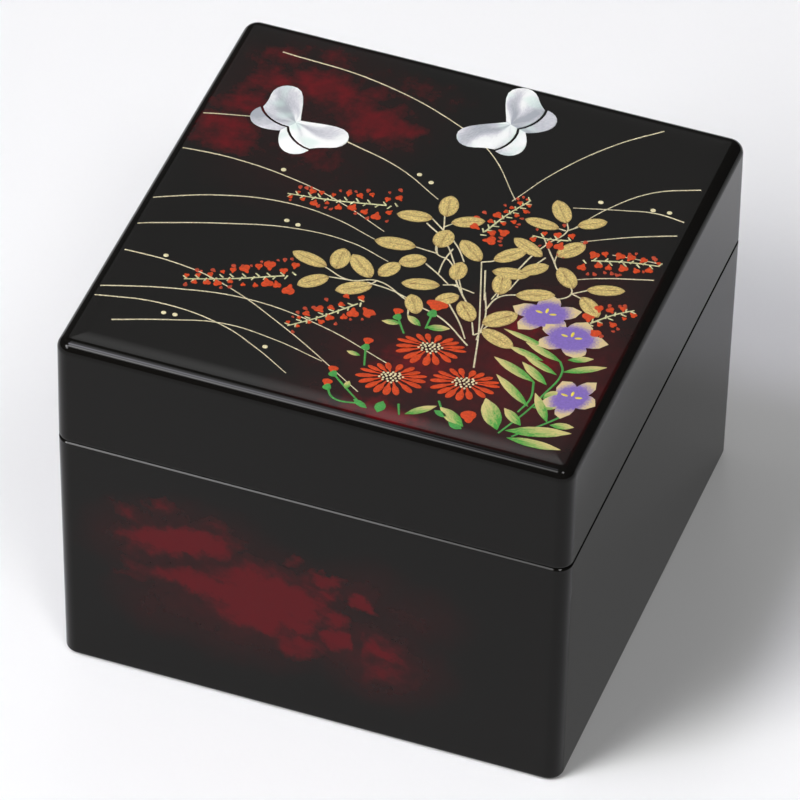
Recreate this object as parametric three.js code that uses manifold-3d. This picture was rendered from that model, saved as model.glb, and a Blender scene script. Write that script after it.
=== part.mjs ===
// Lacquer jewelry box: a moulded case and a hinged lid, a mirror in the lid, a lift-out tray with ring
// bars, velvet liners, two brass stop hinges and two mother-of-pearl butterflies let into the lid.
// Millimetres, +Z up. The origin lies on the table under the middle of the box, and the front faces -Y.
import * as THREE from "three";
import { mergeVertices } from "three/addons/utils/BufferGeometryUtils.js";
import Module from "manifold-3d";

const wasm = await Module();
wasm.setup();

// Outer form of the case and the lid
const BOX_WIDTH = 140;
const BOX_DEPTH = 140;
const CASE_RIM_Z = 76.3;
const LID_HEIGHT = 33.6;
const RIM_GAP = 0.1;
const CASE_DRAFT = 0.7; // how far the case's outer wall leans in from its rim to its base
const CORNER_RADIUS = 3.4;
const INNER_CORNER_RADIUS = 1.5;
const TOP_EDGE_RADIUS = 3;
const BASE_EDGE_RADIUS = 2;
const RIM_EDGE_RADIUS = 0.5;

// Walls of the two moulded shells
const WALL = 6;
const CASE_FLOOR = 4;
const LID_TOP = 4;

// Clearances
const GLUE_GAP = 0.1; // a glued piece to what it is glued on
const SEAT_GAP = 0.1; // a loose piece to what it stands on
const DROP_IN_GAP = 0.4; // a loose piece to the walls round it, each side
const POCKET_GAP = 0.2; // a let-in piece to the sides of its pocket

// Felt under the base, let into a shallow recess and standing a little proud of it
const FELT_THICKNESS = 1;
const FELT_PROUD = 0.5;
const FELT_MARGIN = 9; // from the widest section to the felt's edge
const FELT_CORNER_RADIUS = 5;

// Velvet-covered boards that line the lower half and carry the tray on their top edges
const LINER_THICKNESS = 3.2;
const LINER_HEIGHT = 36;

// Board-backed velvet pads: levels of the side and the crown, as inset and share of the thickness
const FLOOR_PAD_THICKNESS = 3.6;
const TRAY_PAD_THICKNESS = 3;
const PAD_CORNER_RADIUS = 1.5;
const PAD_LEVELS = [
  [0.5, 0],
  [0, 0.3],
  [0.3, 0.55],
  [1.4, 0.78],
  [4, 0.92],
  [10, 1],
];

// Lift-out tray
const TRAY_GAP = 1.8; // tray to case wall, each side
const TRAY_HEIGHT = 25;
const TRAY_WALL = 2.2;
const TRAY_FLOOR = 2.2;
const TRAY_CORNER_RADIUS = 3;
const TRAY_INNER_CORNER_RADIUS = 1.9;
const TRAY_EDGE_RADIUS = 0.6;
const DIVIDER_THICKNESS = 2.4;
const DIVIDER_DROP = 3; // divider top below the tray's top edge
const HOUSING_DEPTH = 0.7; // groove in the long divider that takes a short divider's end
const HOUSING_GAP = 0.15;
const SHORT_DIVIDERS = 2;
const RING_BAY = 42; // depth of the ring bay along Y
const RING_BARS = 5;
const RING_BAR_GAP = 0.5; // slit between two ring bars
const RING_BAR_HEIGHT = 15;
const RING_BAR_EDGE = 0.8;
const TAB_WIDTH = 14;
const TAB_THICKNESS = 1;
const TAB_OVERLAP = 9; // stuck to the tray wall
const TAB_RISE = 9.5; // stands above the tray wall

// Mirror and the velvet board behind it, in the lid
const LID_BOARD_THICKNESS = 1.6;
const MIRROR_FRAME = 11.6; // velvet that shows round the mirror
const MIRROR_THICKNESS = 2;
const MIRROR_CORNER_RADIUS = 4;
const MIRROR_BEVEL = 1.2;
const MIRROR_BEVEL_DEPTH = 0.6;

// Stop hinges: thick leaves with bevelled tails that meet when the lid is open
const HINGE_INSET = 32; // from the box's side to the middle of a hinge
const HINGE_LENGTH = 28;
const BARREL_LENGTH = 15.6;
const LID_KNUCKLE_LENGTH = 5.1;
const KNUCKLE_GAP = 0.2;
const KNUCKLE_RADIUS = 2.2;
const HINGE_PIN_RADIUS = 0.9;
const PIN_GAP = 0.1;
const LEAF_LAND = 1.2; // wall left standing inside a leaf's mortise
const LEAF_GAP = 0.3; // between the two closed leaves, and between the tails at the stop
const LEAF_LAP = 0.1; // how far a leaf's knuckles and tails run into its flange
const LID_OPENING_DEG = 97;
const SCREW_SETBACK = 2.8; // screws in front of the hinge axis
const SCREW_RADIUS = 0.75;
const SCREW_HEAD_RADIUS = 1.45;
const SCREW_HEAD_HEIGHT = 0.8;
const SCREW_LENGTH = 9;
const SCREW_SINK = 0.08; // head below the leaf's face
const SCREW_GAP = 0.15;

// Mother-of-pearl butterflies: where the body lies on the lid, and the way it flies in degrees from +X
const INLAY_THICKNESS = 0.7;
const INLAY_PROUD = 0.2;
const WING_LINE = 0.7; // black line between the fore and hind wings
const LEFT_BUTTERFLY_FROM_LEFT = 27.6;
const LEFT_BUTTERFLY_FROM_BACK = 37.6;
const LEFT_BUTTERFLY_HEADING = 56.5;
const RIGHT_BUTTERFLY_FROM_LEFT = 80.4;
const RIGHT_BUTTERFLY_FROM_BACK = 18;
const RIGHT_BUTTERFLY_HEADING = 160;
// Left halves of a butterfly that flies along +X: a start, then curves by their two handles and their end
const FOREWINGS = {
  start: [1.6, 0],
  curves: [
    [3.4, 2.6, 9.8, 8, 8.7, 11.2],
    [7.8, 14.2, 4.4, 15.6, 1.4, 13.2],
    [-0.2, 11.8, -1.6, 11, -3.1, 10.4],
    [-4.6, 7.5, -4.4, 3, -2.2, 0],
  ],
};
const HINDWINGS = {
  start: [0, 0],
  curves: [
    [0, 4, -0.5, 10.2, -2.8, 10.6],
    [-5.2, 11.3, -8.2, 10.7, -9, 7.5],
    [-9.5, 5, -7.8, 2.2, -5, 0],
  ],
};

// Facets
const CORNER_STEPS = 6; // to a quarter turn of a rounded plan
const TOP_EDGE_STEPS = 5;
const BASE_EDGE_STEPS = 3;
const RIM_STEPS = 2;
const ROUND_SIDES = 20;
const SCREW_SIDES = 12;
const BAR_STEPS = 8;
const TAB_STEPS = 6;
const WING_STEPS = 6; // to each curve of a wing

// Heights that follow
const CASE_BASE_Z = FELT_PROUD;
const FELT_RECESS_Z = FELT_THICKNESS + GLUE_GAP;
const FLOOR_Z = FELT_RECESS_Z + CASE_FLOOR;
const LID_RIM_Z = CASE_RIM_Z + RIM_GAP;
const LID_TOP_Z = LID_RIM_Z + LID_HEIGHT;
const LID_CEILING_Z = LID_TOP_Z - LID_TOP;
const HINGE_AXIS_Y = BOX_DEPTH / 2;
const HINGE_AXIS_Z = CASE_RIM_Z + RIM_GAP / 2;
const LINER_BASE_Z = FLOOR_Z + GLUE_GAP;
const TRAY_BASE_Z = LINER_BASE_Z + LINER_HEIGHT + SEAT_GAP;
const INLAY_Z = LID_TOP_Z + INLAY_PROUD - INLAY_THICKNESS;

// Inner plan of the case and the lid, and the tray that drops into it
const INNER_WIDTH = BOX_WIDTH - 2 * WALL;
const INNER_DEPTH = BOX_DEPTH - 2 * WALL;
const TRAY_WIDTH = INNER_WIDTH - 2 * TRAY_GAP;
const TRAY_DEPTH = INNER_DEPTH - 2 * TRAY_GAP;
const TRAY_INNER_WIDTH = TRAY_WIDTH - 2 * TRAY_WALL;
const TRAY_INNER_DEPTH = TRAY_DEPTH - 2 * TRAY_WALL;

const BLACK_LACQUER = new THREE.MeshStandardMaterial({ color: 0x1a1817, roughness: 0.12 });
const VELVET = new THREE.MeshStandardMaterial({ color: 0x5a1020, roughness: 0.95 });
const RIBBON = new THREE.MeshStandardMaterial({ color: 0x7a1826, roughness: 0.6 });
const FELT = new THREE.MeshStandardMaterial({ color: 0x141414, roughness: 1 });
const BRASS = new THREE.MeshStandardMaterial({ color: 0xb08d45, roughness: 0.3, metalness: 1 });
const MIRROR_GLASS = new THREE.MeshStandardMaterial({ color: 0xe8ecee, roughness: 0.02, metalness: 1 });
const SHELL_INLAY = new THREE.MeshStandardMaterial({ color: 0xe4e6ea, roughness: 0.25 });

const SIDES = [-1, 1];

// A closed geometry as a manifold-3d solid, and back
function solidOf(geometry) {
  const bare = geometry.clone();
  bare.deleteAttribute("normal");
  bare.deleteAttribute("uv");
  const merged = mergeVertices(bare, 1e-4);
  return new wasm.Manifold(
    new wasm.Mesh({
      numProp: 3,
      vertProperties: merged.attributes.position.array,
      triVerts: new Uint32Array(merged.index.array),
    }),
  );
}

function geometryOf(solid) {
  const mesh = solid.getMesh();
  return new THREE.BufferGeometry()
    .setAttribute("position", new THREE.BufferAttribute(mesh.vertProperties, 3))
    .setIndex(new THREE.BufferAttribute(mesh.triVerts, 1));
}

function join(...geometries) {
  return geometryOf(geometries.map(solidOf).reduce((whole, solid) => whole.add(solid)));
}

function cut(geometry, ...tools) {
  return geometryOf(tools.map(solidOf).reduce((whole, tool) => whole.subtract(tool), solidOf(geometry)));
}

// A named mesh of one piece
function piece(name, geometry, material, x = 0, y = 0, z = 0) {
  const mesh = new THREE.Mesh(geometry, material);
  mesh.name = name;
  mesh.position.set(x, y, z);
  return mesh;
}

function group(...members) {
  return new THREE.Group().add(...members);
}

// A block that stands on the plane z = 0
function block(width, depth, height) {
  return new THREE.BoxGeometry(width, depth, height).translate(0, 0, height / 2);
}

// A flat shape with a thickness, from z = 0 up
function plate(shape, thickness, curveSegments) {
  return new THREE.ExtrudeGeometry(shape, { depth: thickness, bevelEnabled: false, curveSegments });
}

// One level of a loft: a rounded rectangle, anticlockwise seen from above
function roundedRing({ width, depth, radius, z }) {
  const points = [];
  for (let corner = 0; corner < 4; corner++) {
    const side = [1, -1, -1, 1][corner];
    const end = [1, 1, -1, -1][corner];
    for (let step = 0; step <= CORNER_STEPS; step++) {
      const turn = ((corner + step / CORNER_STEPS) * Math.PI) / 2;
      const x = side * (width / 2 - radius) + radius * Math.cos(turn);
      const y = end * (depth / 2 - radius) + radius * Math.sin(turn);
      points.push([x, y, z]);
    }
  }
  return points;
}

// A closed solid through a stack of levels. The first level is capped facing down and the last facing up,
// so a stack that climbs the outside and comes down the inside is a shell that is open at the top.
function loft(levels) {
  const rings = levels.map(roundedRing);
  const count = rings[0].length;
  const vertices = rings.flat();
  const lowCap = vertices.length;
  const highCap = lowCap + 1;
  vertices.push([0, 0, levels[0].z], [0, 0, levels.at(-1).z]);
  const triangles = [];
  for (let i = 0; i < count; i++) {
    const next = (i + 1) % count;
    for (let low = 0; low + count < lowCap; low += count) {
      const high = low + count;
      triangles.push(low + i, low + next, high + next, low + i, high + next, high + i);
    }
    triangles.push(lowCap, next, i, highCap, lowCap - count + i, lowCap - count + next);
  }
  return new THREE.BufferGeometry()
    .setAttribute("position", new THREE.Float32BufferAttribute(vertices.flat(), 3))
    .setIndex(triangles);
}

// A level of the box: its inset from the widest section, its height and its plan's corner radius
function boxLevel(inset, z, radius) {
  return { width: BOX_WIDTH - 2 * inset, depth: BOX_DEPTH - 2 * inset, radius, z };
}

// A rounded edge as levels, turned from one angle to another in degrees about the point (inset, z)
function edgeLevels({ inset, z, radius, turns: [from, to], steps, plan }) {
  return Array.from({ length: steps + 1 }, (_, step) => {
    const turn = THREE.MathUtils.degToRad(from + ((to - from) * step) / steps);
    const across = inset - radius * Math.cos(turn);
    return boxLevel(across, z + radius * Math.sin(turn), plan(across));
  });
}

const outerPlan = (inset) => Math.max(CORNER_RADIUS - inset, INNER_CORNER_RADIUS);
const innerPlan = (inset) => INNER_CORNER_RADIUS + WALL - inset;
const basePlan = (inset) => outerPlan(inset - CASE_DRAFT);

// The two rounded edges of a rim, outside and inside, with their turns
function rimEdges(z, outerTurns, innerTurns) {
  const edge = { z, radius: RIM_EDGE_RADIUS, steps: RIM_STEPS };
  return {
    outer: edgeLevels({ ...edge, inset: RIM_EDGE_RADIUS, turns: outerTurns, plan: outerPlan }),
    inner: edgeLevels({ ...edge, inset: WALL - RIM_EDGE_RADIUS, turns: innerTurns, plan: innerPlan }),
  };
}

// Hinges. Each is made about its own axis, with X along the pin and +Y to the back.
// Side -1 is the case's and side +1 the lid's.
const HALF_GAP = LEAF_GAP / 2;
const LEAF_DEPTH = WALL - LEAF_LAND - POCKET_GAP;
const BARREL_END = BARREL_LENGTH / 2;
const HINGE_END = HINGE_LENGTH / 2;
const LID_KNUCKLE_END = LID_KNUCKLE_LENGTH / 2;
const SCREW_X = (BARREL_END + HINGE_END) / 2;
const LID_KNUCKLES = [[-LID_KNUCKLE_END, LID_KNUCKLE_END]];
const CASE_KNUCKLES = [
  [-BARREL_END, -LID_KNUCKLE_END - KNUCKLE_GAP],
  [LID_KNUCKLE_END + KNUCKLE_GAP, BARREL_END],
];
const HINGES = [
  { name: "hinge_left", x: HINGE_INSET - BOX_WIDTH / 2 },
  { name: "hinge_right", x: BOX_WIDTH / 2 - HINGE_INSET },
];

// A profile of Y and Z, drawn out along X from one place to another
function alongX(outline, from, to) {
  const shape = new THREE.Shape(outline.map(([y, z]) => new THREE.Vector2(y, z)));
  return plate(shape, to - from).rotateX(Math.PI / 2).rotateZ(Math.PI / 2).translate(from, 0, 0);
}

function rodAlongX(radius, from, to) {
  const rod = new THREE.CylinderGeometry(radius, radius, to - from, ROUND_SIDES);
  return rod.rotateZ(Math.PI / 2).translate((from + to) / 2, 0, 0);
}

// How far back the bevelled tail of a leaf reaches at a height over the axis
function tailReach(height) {
  const bevel = THREE.MathUtils.degToRad(LID_OPENING_DEG / 2);
  return (height * Math.cos(bevel) - HALF_GAP) / Math.sin(bevel);
}

function hingeLeaf(side, knuckles, endGap) {
  const thick = side * KNUCKLE_RADIUS;
  const face = side * HALF_GAP;
  const clear = -KNUCKLE_RADIUS - KNUCKLE_GAP;
  const section = (front, backAtFace, backAtThick) => [
    [front, face],
    [backAtFace, face],
    [backAtThick, thick],
    [front, thick],
  ];
  const flange = section(-LEAF_DEPTH, clear, clear);
  const tail = section(clear - LEAF_LAP, tailReach(HALF_GAP), tailReach(KNUCKLE_RADIUS));
  const web = section(clear - LEAF_LAP, 0, 0);
  const tailStart = BARREL_END + endGap;
  const whole = join(
    alongX(flange, -HINGE_END, HINGE_END),
    alongX(tail, -HINGE_END, -tailStart),
    alongX(tail, tailStart, HINGE_END),
    ...knuckles.flatMap((ends) => [alongX(web, ...ends), rodAlongX(KNUCKLE_RADIUS, ...ends)]),
  );
  return cut(whole, rodAlongX(HINGE_PIN_RADIUS + PIN_GAP, -tailStart, tailStart), ...screwHoles(side));
}

// A pointed countersunk form that goes away from the seam
function countersunk(side, head, neck, tip, radius, headRadius) {
  const profile = [
    [0, tip],
    [radius, tip - radius],
    [radius, neck],
    [headRadius, head],
    [0, head],
  ].map(([across, away]) => new THREE.Vector2(across, -away));
  const down = new THREE.LatheGeometry(profile, SCREW_SIDES).rotateX(Math.PI / 2);
  return side < 0 ? down : down.rotateX(Math.PI);
}

function screw(side) {
  const head = HALF_GAP + SCREW_SINK;
  const neck = HALF_GAP + SCREW_HEAD_HEIGHT;
  const tip = HALF_GAP + SCREW_LENGTH;
  return countersunk(side, head, neck, tip, SCREW_RADIUS, SCREW_HEAD_RADIUS);
}

function screwHoles(side) {
  const neck = HALF_GAP + SCREW_HEAD_HEIGHT;
  const tip = HALF_GAP + SCREW_LENGTH + SCREW_GAP;
  const hole = () => countersunk(side, 0, neck, tip, SCREW_RADIUS + SCREW_GAP, SCREW_HEAD_RADIUS + SCREW_GAP);
  return SIDES.map((end) => hole().translate(end * SCREW_X, -SCREW_SETBACK, 0));
}

// What a hinge needs cut from the rim of the case or the lid
function hingeMortise(side) {
  const deep = KNUCKLE_RADIUS + POCKET_GAP;
  const front = LEAF_DEPTH + POCKET_GAP;
  const pocket = new THREE.BoxGeometry(HINGE_LENGTH + 2 * POCKET_GAP, 2 * front, deep);
  return join(pocket.translate(0, 0, (side * deep) / 2), ...screwHoles(side));
}

function mortises(side) {
  return HINGES.map(({ x }) => hingeMortise(side).translate(x, HINGE_AXIS_Y, HINGE_AXIS_Z));
}

function hinge({ name, x }) {
  const pinEnd = BARREL_END - PIN_GAP;
  const hardware = group(
    piece(`${name}_case_leaf`, hingeLeaf(-1, CASE_KNUCKLES, 0), BRASS),
    piece(`${name}_lid_leaf`, hingeLeaf(1, LID_KNUCKLES, KNUCKLE_GAP), BRASS),
    piece(`${name}_pin`, rodAlongX(HINGE_PIN_RADIUS, -pinEnd, pinEnd), BRASS),
  );
  SIDES.forEach((end, i) => {
    hardware.add(piece(`${name}_case_screw_${i + 1}`, screw(-1), BRASS, end * SCREW_X, -SCREW_SETBACK));
    hardware.add(piece(`${name}_lid_screw_${i + 1}`, screw(1), BRASS, end * SCREW_X, -SCREW_SETBACK));
  });
  hardware.position.set(x, HINGE_AXIS_Y, HINGE_AXIS_Z);
  return hardware;
}

// Case: one moulded shell, round at its edges, with a recess for the felt under it
function caseShell() {
  const recess = FELT_MARGIN - POCKET_GAP;
  const base = {
    inset: CASE_DRAFT + BASE_EDGE_RADIUS,
    z: CASE_BASE_Z + BASE_EDGE_RADIUS,
    radius: BASE_EDGE_RADIUS,
    turns: [-90, 0],
    steps: BASE_EDGE_STEPS,
    plan: basePlan,
  };
  const rim = rimEdges(CASE_RIM_Z - RIM_EDGE_RADIUS, [0, 90], [90, 180]);
  const shell = loft([
    boxLevel(recess, FELT_RECESS_Z, FELT_CORNER_RADIUS),
    boxLevel(recess, CASE_BASE_Z, FELT_CORNER_RADIUS),
    ...edgeLevels(base),
    ...rim.outer,
    ...rim.inner,
    boxLevel(WALL, FLOOR_Z, INNER_CORNER_RADIUS),
  ]);
  return cut(shell, ...mortises(-1));
}

function caseGroup() {
  const felt = loft([0, FELT_THICKNESS].map((z) => boxLevel(FELT_MARGIN, z, FELT_CORNER_RADIUS)));
  const linerX = (INNER_WIDTH - LINER_THICKNESS) / 2 - GLUE_GAP;
  const linerY = (INNER_DEPTH - LINER_THICKNESS) / 2 - GLUE_GAP;
  const linedWidth = 2 * linerX - LINER_THICKNESS;
  const linedDepth = 2 * linerY - LINER_THICKNESS;
  const sideLiner = () => block(LINER_THICKNESS, INNER_DEPTH - 2 * INNER_CORNER_RADIUS, LINER_HEIGHT);
  const frontLiner = () => block(linedWidth - 2 * GLUE_GAP, LINER_THICKNESS, LINER_HEIGHT);
  const pad = cushion(linedWidth - 2 * DROP_IN_GAP, linedDepth - 2 * DROP_IN_GAP, FLOOR_PAD_THICKNESS);
  return group(
    piece("case_shell", caseShell(), BLACK_LACQUER),
    piece("base_felt", felt, FELT),
    piece("liner_left", sideLiner(), VELVET, -linerX, 0, LINER_BASE_Z),
    piece("liner_right", sideLiner(), VELVET, linerX, 0, LINER_BASE_Z),
    piece("liner_front", frontLiner(), VELVET, 0, -linerY, LINER_BASE_Z),
    piece("liner_back", frontLiner(), VELVET, 0, linerY, LINER_BASE_Z),
    piece("floor_pad", pad, VELVET, 0, 0, LINER_BASE_Z),
  );
}

// A board-backed velvet pad: flat underneath, full at the side and crowned on top
function cushion(width, depth, thickness) {
  return loft(
    PAD_LEVELS.map(([inset, share]) => ({
      width: width - 2 * inset,
      depth: depth - 2 * inset,
      radius: PAD_CORNER_RADIUS,
      z: share * thickness,
    })),
  );
}

// Tray, made about the middle of its underside
function trayShell() {
  const level = (inset, z, radius) => ({
    width: TRAY_WIDTH - 2 * inset,
    depth: TRAY_DEPTH - 2 * inset,
    radius,
    z,
  });
  const shoulder = TRAY_HEIGHT - TRAY_EDGE_RADIUS;
  return loft([
    level(TRAY_EDGE_RADIUS, 0, TRAY_CORNER_RADIUS),
    level(0, TRAY_EDGE_RADIUS, TRAY_CORNER_RADIUS),
    level(0, shoulder, TRAY_CORNER_RADIUS),
    level(TRAY_EDGE_RADIUS, TRAY_HEIGHT, TRAY_CORNER_RADIUS),
    level(TRAY_WALL - TRAY_EDGE_RADIUS, TRAY_HEIGHT, TRAY_INNER_CORNER_RADIUS),
    level(TRAY_WALL, shoulder, TRAY_INNER_CORNER_RADIUS),
    level(TRAY_WALL, TRAY_FLOOR, TRAY_INNER_CORNER_RADIUS),
  ]);
}

// An upright shape with straight sides and a half-round top
function archShape(halfWidth, bottom, top) {
  const spring = top - halfWidth;
  const shape = new THREE.Shape();
  shape.moveTo(-halfWidth, bottom);
  shape.lineTo(halfWidth, bottom);
  shape.lineTo(halfWidth, spring);
  shape.absarc(0, spring, halfWidth, 0, Math.PI, false);
  shape.closePath();
  return shape;
}

// A foam bar with a half-round top, which grips rings in the slits beside it
function ringBar(length, width) {
  const section = archShape(width / 2 - RING_BAR_EDGE, RING_BAR_EDGE, RING_BAR_HEIGHT - RING_BAR_EDGE);
  const straight = length - 2 * RING_BAR_EDGE;
  const bar = new THREE.ExtrudeGeometry(section, {
    depth: straight,
    curveSegments: BAR_STEPS,
    bevelSize: RING_BAR_EDGE,
    bevelThickness: RING_BAR_EDGE,
    bevelSegments: 2,
  });
  return bar.rotateX(Math.PI / 2).rotateZ(Math.PI / 2).translate(-straight / 2, 0, 0);
}

// A flat ribbon tab with a round top end
function ribbonTab() {
  const tab = plate(archShape(TAB_WIDTH / 2, 0, TAB_OVERLAP + TAB_RISE), TAB_THICKNESS, TAB_STEPS);
  return tab.rotateX(Math.PI / 2).rotateZ(Math.PI / 2).translate(-TAB_THICKNESS / 2, 0, 0);
}

function trayGroup() {
  const tray = group(piece("tray_shell", trayShell(), VELVET));
  const floorZ = TRAY_FLOOR + GLUE_GAP;
  const dividerHeight = TRAY_HEIGHT - floorZ - DIVIDER_DROP;
  const left = -TRAY_INNER_WIDTH / 2;
  const front = -TRAY_INNER_DEPTH / 2;
  const back = TRAY_INNER_DEPTH / 2;

  // Ring bay along the front
  const barPitch = (RING_BAY - RING_BAR_GAP) / RING_BARS;
  for (let i = 0; i < RING_BARS; i++) {
    const bar = ringBar(TRAY_INNER_WIDTH - 2 * DROP_IN_GAP, barPitch - RING_BAR_GAP);
    const y = front + RING_BAR_GAP / 2 + (i + 0.5) * barPitch;
    tray.add(piece(`ring_bar_${i + 1}`, bar, VELVET, 0, y, floorZ));
  }

  // Long divider behind the ring bay, with a housing for the end of each short divider
  const longY = front + RING_BAY + DIVIDER_THICKNESS / 2;
  const bayFront = longY + DIVIDER_THICKNESS / 2;
  const bayWidth = (TRAY_INNER_WIDTH - SHORT_DIVIDERS * DIVIDER_THICKNESS) / (SHORT_DIVIDERS + 1);
  const dividerX = (i) => left + (i + 1) * bayWidth + (i + 0.5) * DIVIDER_THICKNESS;
  const housings = Array.from({ length: SHORT_DIVIDERS }, (_, i) =>
    new THREE.BoxGeometry(DIVIDER_THICKNESS + 2 * HOUSING_GAP, 2 * HOUSING_DEPTH, 3 * TRAY_HEIGHT)
      .translate(dividerX(i), DIVIDER_THICKNESS / 2, 0),
  );
  const longDivider = block(TRAY_INNER_WIDTH - 2 * GLUE_GAP, DIVIDER_THICKNESS, dividerHeight);
  tray.add(piece("divider_long", cut(longDivider, ...housings), VELVET, 0, longY, floorZ));
  const shortFront = bayFront - HOUSING_DEPTH + HOUSING_GAP;
  const shortBack = back - GLUE_GAP;
  for (let i = 0; i < SHORT_DIVIDERS; i++) {
    const divider = block(DIVIDER_THICKNESS, shortBack - shortFront, dividerHeight);
    const y = (shortFront + shortBack) / 2;
    tray.add(piece(`divider_short_${i + 1}`, divider, VELVET, dividerX(i), y, floorZ));
  }

  // A pad in each bay behind the long divider
  const bayY = (bayFront + back) / 2;
  for (let i = 0; i <= SHORT_DIVIDERS; i++) {
    const pad = cushion(bayWidth - 2 * DROP_IN_GAP, back - bayFront - 2 * DROP_IN_GAP, TRAY_PAD_THICKNESS);
    const x = left + bayWidth / 2 + i * (bayWidth + DIVIDER_THICKNESS);
    tray.add(piece(`tray_pad_${i + 1}`, pad, VELVET, x, bayY, floorZ));
  }

  // Ribbon tabs on the side walls, to lift the tray by
  const tabX = TRAY_INNER_WIDTH / 2 - GLUE_GAP - TAB_THICKNESS / 2;
  const tabZ = TRAY_HEIGHT - TAB_OVERLAP;
  tray.add(
    piece("tray_tab_left", ribbonTab(), RIBBON, -tabX, bayY, tabZ),
    piece("tray_tab_right", ribbonTab(), RIBBON, tabX, bayY, tabZ),
  );
  tray.position.z = TRAY_BASE_Z;
  return tray;
}

// Outline of a pair of wings, anticlockwise: the left half, then its mirror image
function wingOutline({ start, curves }) {
  const path = new THREE.Path();
  path.moveTo(...start);
  curves.forEach((curve) => path.bezierCurveTo(...curve));
  const left = path.getPoints(WING_STEPS);
  const right = left.slice(1, -1).reverse();
  return [...left, ...right.map(({ x, y }) => new THREE.Vector2(x, -y))];
}

// An anticlockwise outline with each corner moved outwards by a margin
function grown(outline, margin) {
  return outline.map((corner, i) => {
    const next = outline[(i + 1) % outline.length];
    const along = next.clone().sub(outline.at(i - 1)).normalize();
    return new THREE.Vector2(corner.x + margin * along.y, corner.y - margin * along.x);
  });
}

function wings(pair, margin, thickness) {
  return plate(new THREE.Shape(grown(wingOutline(pair), margin)), thickness);
}

// Hind wings stop short of the fore wings by the black line between them
function hindwings() {
  const shadow = wings(FOREWINGS, WING_LINE, 3 * INLAY_THICKNESS).translate(0, 0, -INLAY_THICKNESS);
  return cut(wings(HINDWINGS, 0, INLAY_THICKNESS), shadow);
}

const BUTTERFLIES = [
  {
    name: "butterfly_left",
    fromLeft: LEFT_BUTTERFLY_FROM_LEFT,
    fromBack: LEFT_BUTTERFLY_FROM_BACK,
    heading: LEFT_BUTTERFLY_HEADING,
  },
  {
    name: "butterfly_right",
    fromLeft: RIGHT_BUTTERFLY_FROM_LEFT,
    fromBack: RIGHT_BUTTERFLY_FROM_BACK,
    heading: RIGHT_BUTTERFLY_HEADING,
  },
];

// Puts a butterfly's piece, or the pocket for it, in its place on the lid
function settle(geometry, { fromLeft, fromBack, heading }, z) {
  const turned = geometry.rotateZ(THREE.MathUtils.degToRad(heading));
  return turned.translate(fromLeft - BOX_WIDTH / 2, BOX_DEPTH / 2 - fromBack, z);
}

function inlayPockets() {
  const pocket = (pair) => wings(pair, POCKET_GAP, LID_TOP);
  return BUTTERFLIES.flatMap((place) =>
    [FOREWINGS, HINDWINGS].map((pair) => settle(pocket(pair), place, INLAY_Z - GLUE_GAP)),
  );
}

// Lid: one moulded shell, open underneath
function lidShell() {
  const rim = rimEdges(LID_RIM_Z + RIM_EDGE_RADIUS, [-90, 0], [180, 270]);
  const top = {
    inset: TOP_EDGE_RADIUS,
    z: LID_TOP_Z - TOP_EDGE_RADIUS,
    radius: TOP_EDGE_RADIUS,
    turns: [0, 90],
    steps: TOP_EDGE_STEPS,
    plan: outerPlan,
  };
  const ceiling = boxLevel(WALL, LID_CEILING_Z, INNER_CORNER_RADIUS);
  const shell = loft([ceiling, ...rim.inner, ...rim.outer, ...edgeLevels(top)]);
  return cut(shell, ...mortises(1), ...inlayPockets());
}

function mirrorGlass() {
  const edge = WALL + DROP_IN_GAP + MIRROR_FRAME;
  return loft([
    boxLevel(edge + MIRROR_BEVEL, 0, MIRROR_CORNER_RADIUS),
    boxLevel(edge, MIRROR_BEVEL_DEPTH, MIRROR_CORNER_RADIUS),
    boxLevel(edge, MIRROR_THICKNESS, MIRROR_CORNER_RADIUS),
  ]);
}

function lidGroup() {
  const board = loft(
    [0, LID_BOARD_THICKNESS].map((z) => boxLevel(WALL + DROP_IN_GAP, z, INNER_CORNER_RADIUS)),
  );
  const boardZ = LID_CEILING_Z - GLUE_GAP - LID_BOARD_THICKNESS;
  const mirrorZ = boardZ - GLUE_GAP - MIRROR_THICKNESS;
  const lid = group(
    piece("lid_shell", lidShell(), BLACK_LACQUER),
    piece("lid_board", board, VELVET, 0, 0, boardZ),
    piece("mirror_glass", mirrorGlass(), MIRROR_GLASS, 0, 0, mirrorZ),
  );
  for (const place of BUTTERFLIES) {
    const fore = settle(wings(FOREWINGS, 0, INLAY_THICKNESS), place, INLAY_Z);
    const hind = settle(hindwings(), place, INLAY_Z);
    lid.add(piece(`${place.name}_forewings`, fore, SHELL_INLAY));
    lid.add(piece(`${place.name}_hindwings`, hind, SHELL_INLAY));
  }
  return lid;
}

const jewelryBox = group(caseGroup(), trayGroup(), lidGroup(), ...HINGES.map(hinge));
jewelryBox.name = "jewelry_box";

export default jewelryBox;
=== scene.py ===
# %% [markdown]
# # A lacquer jewelry box
# The box is a case and a hinged lid under polished black lacquer. Dark red clouds lie under the lacquer, and
# the lid carries autumn grasses in gold and colour with two butterflies of mother-of-pearl. Inside are velvet
# liners, a lift-out tray with ring bars, and a mirror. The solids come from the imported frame, in metres, and
# every piece made here rides on one of its bodies: the case, the lid or the tray.

# %% Load the frame
import math
import random

import bmesh
import bpy
from mathutils import Matrix, Vector


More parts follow.
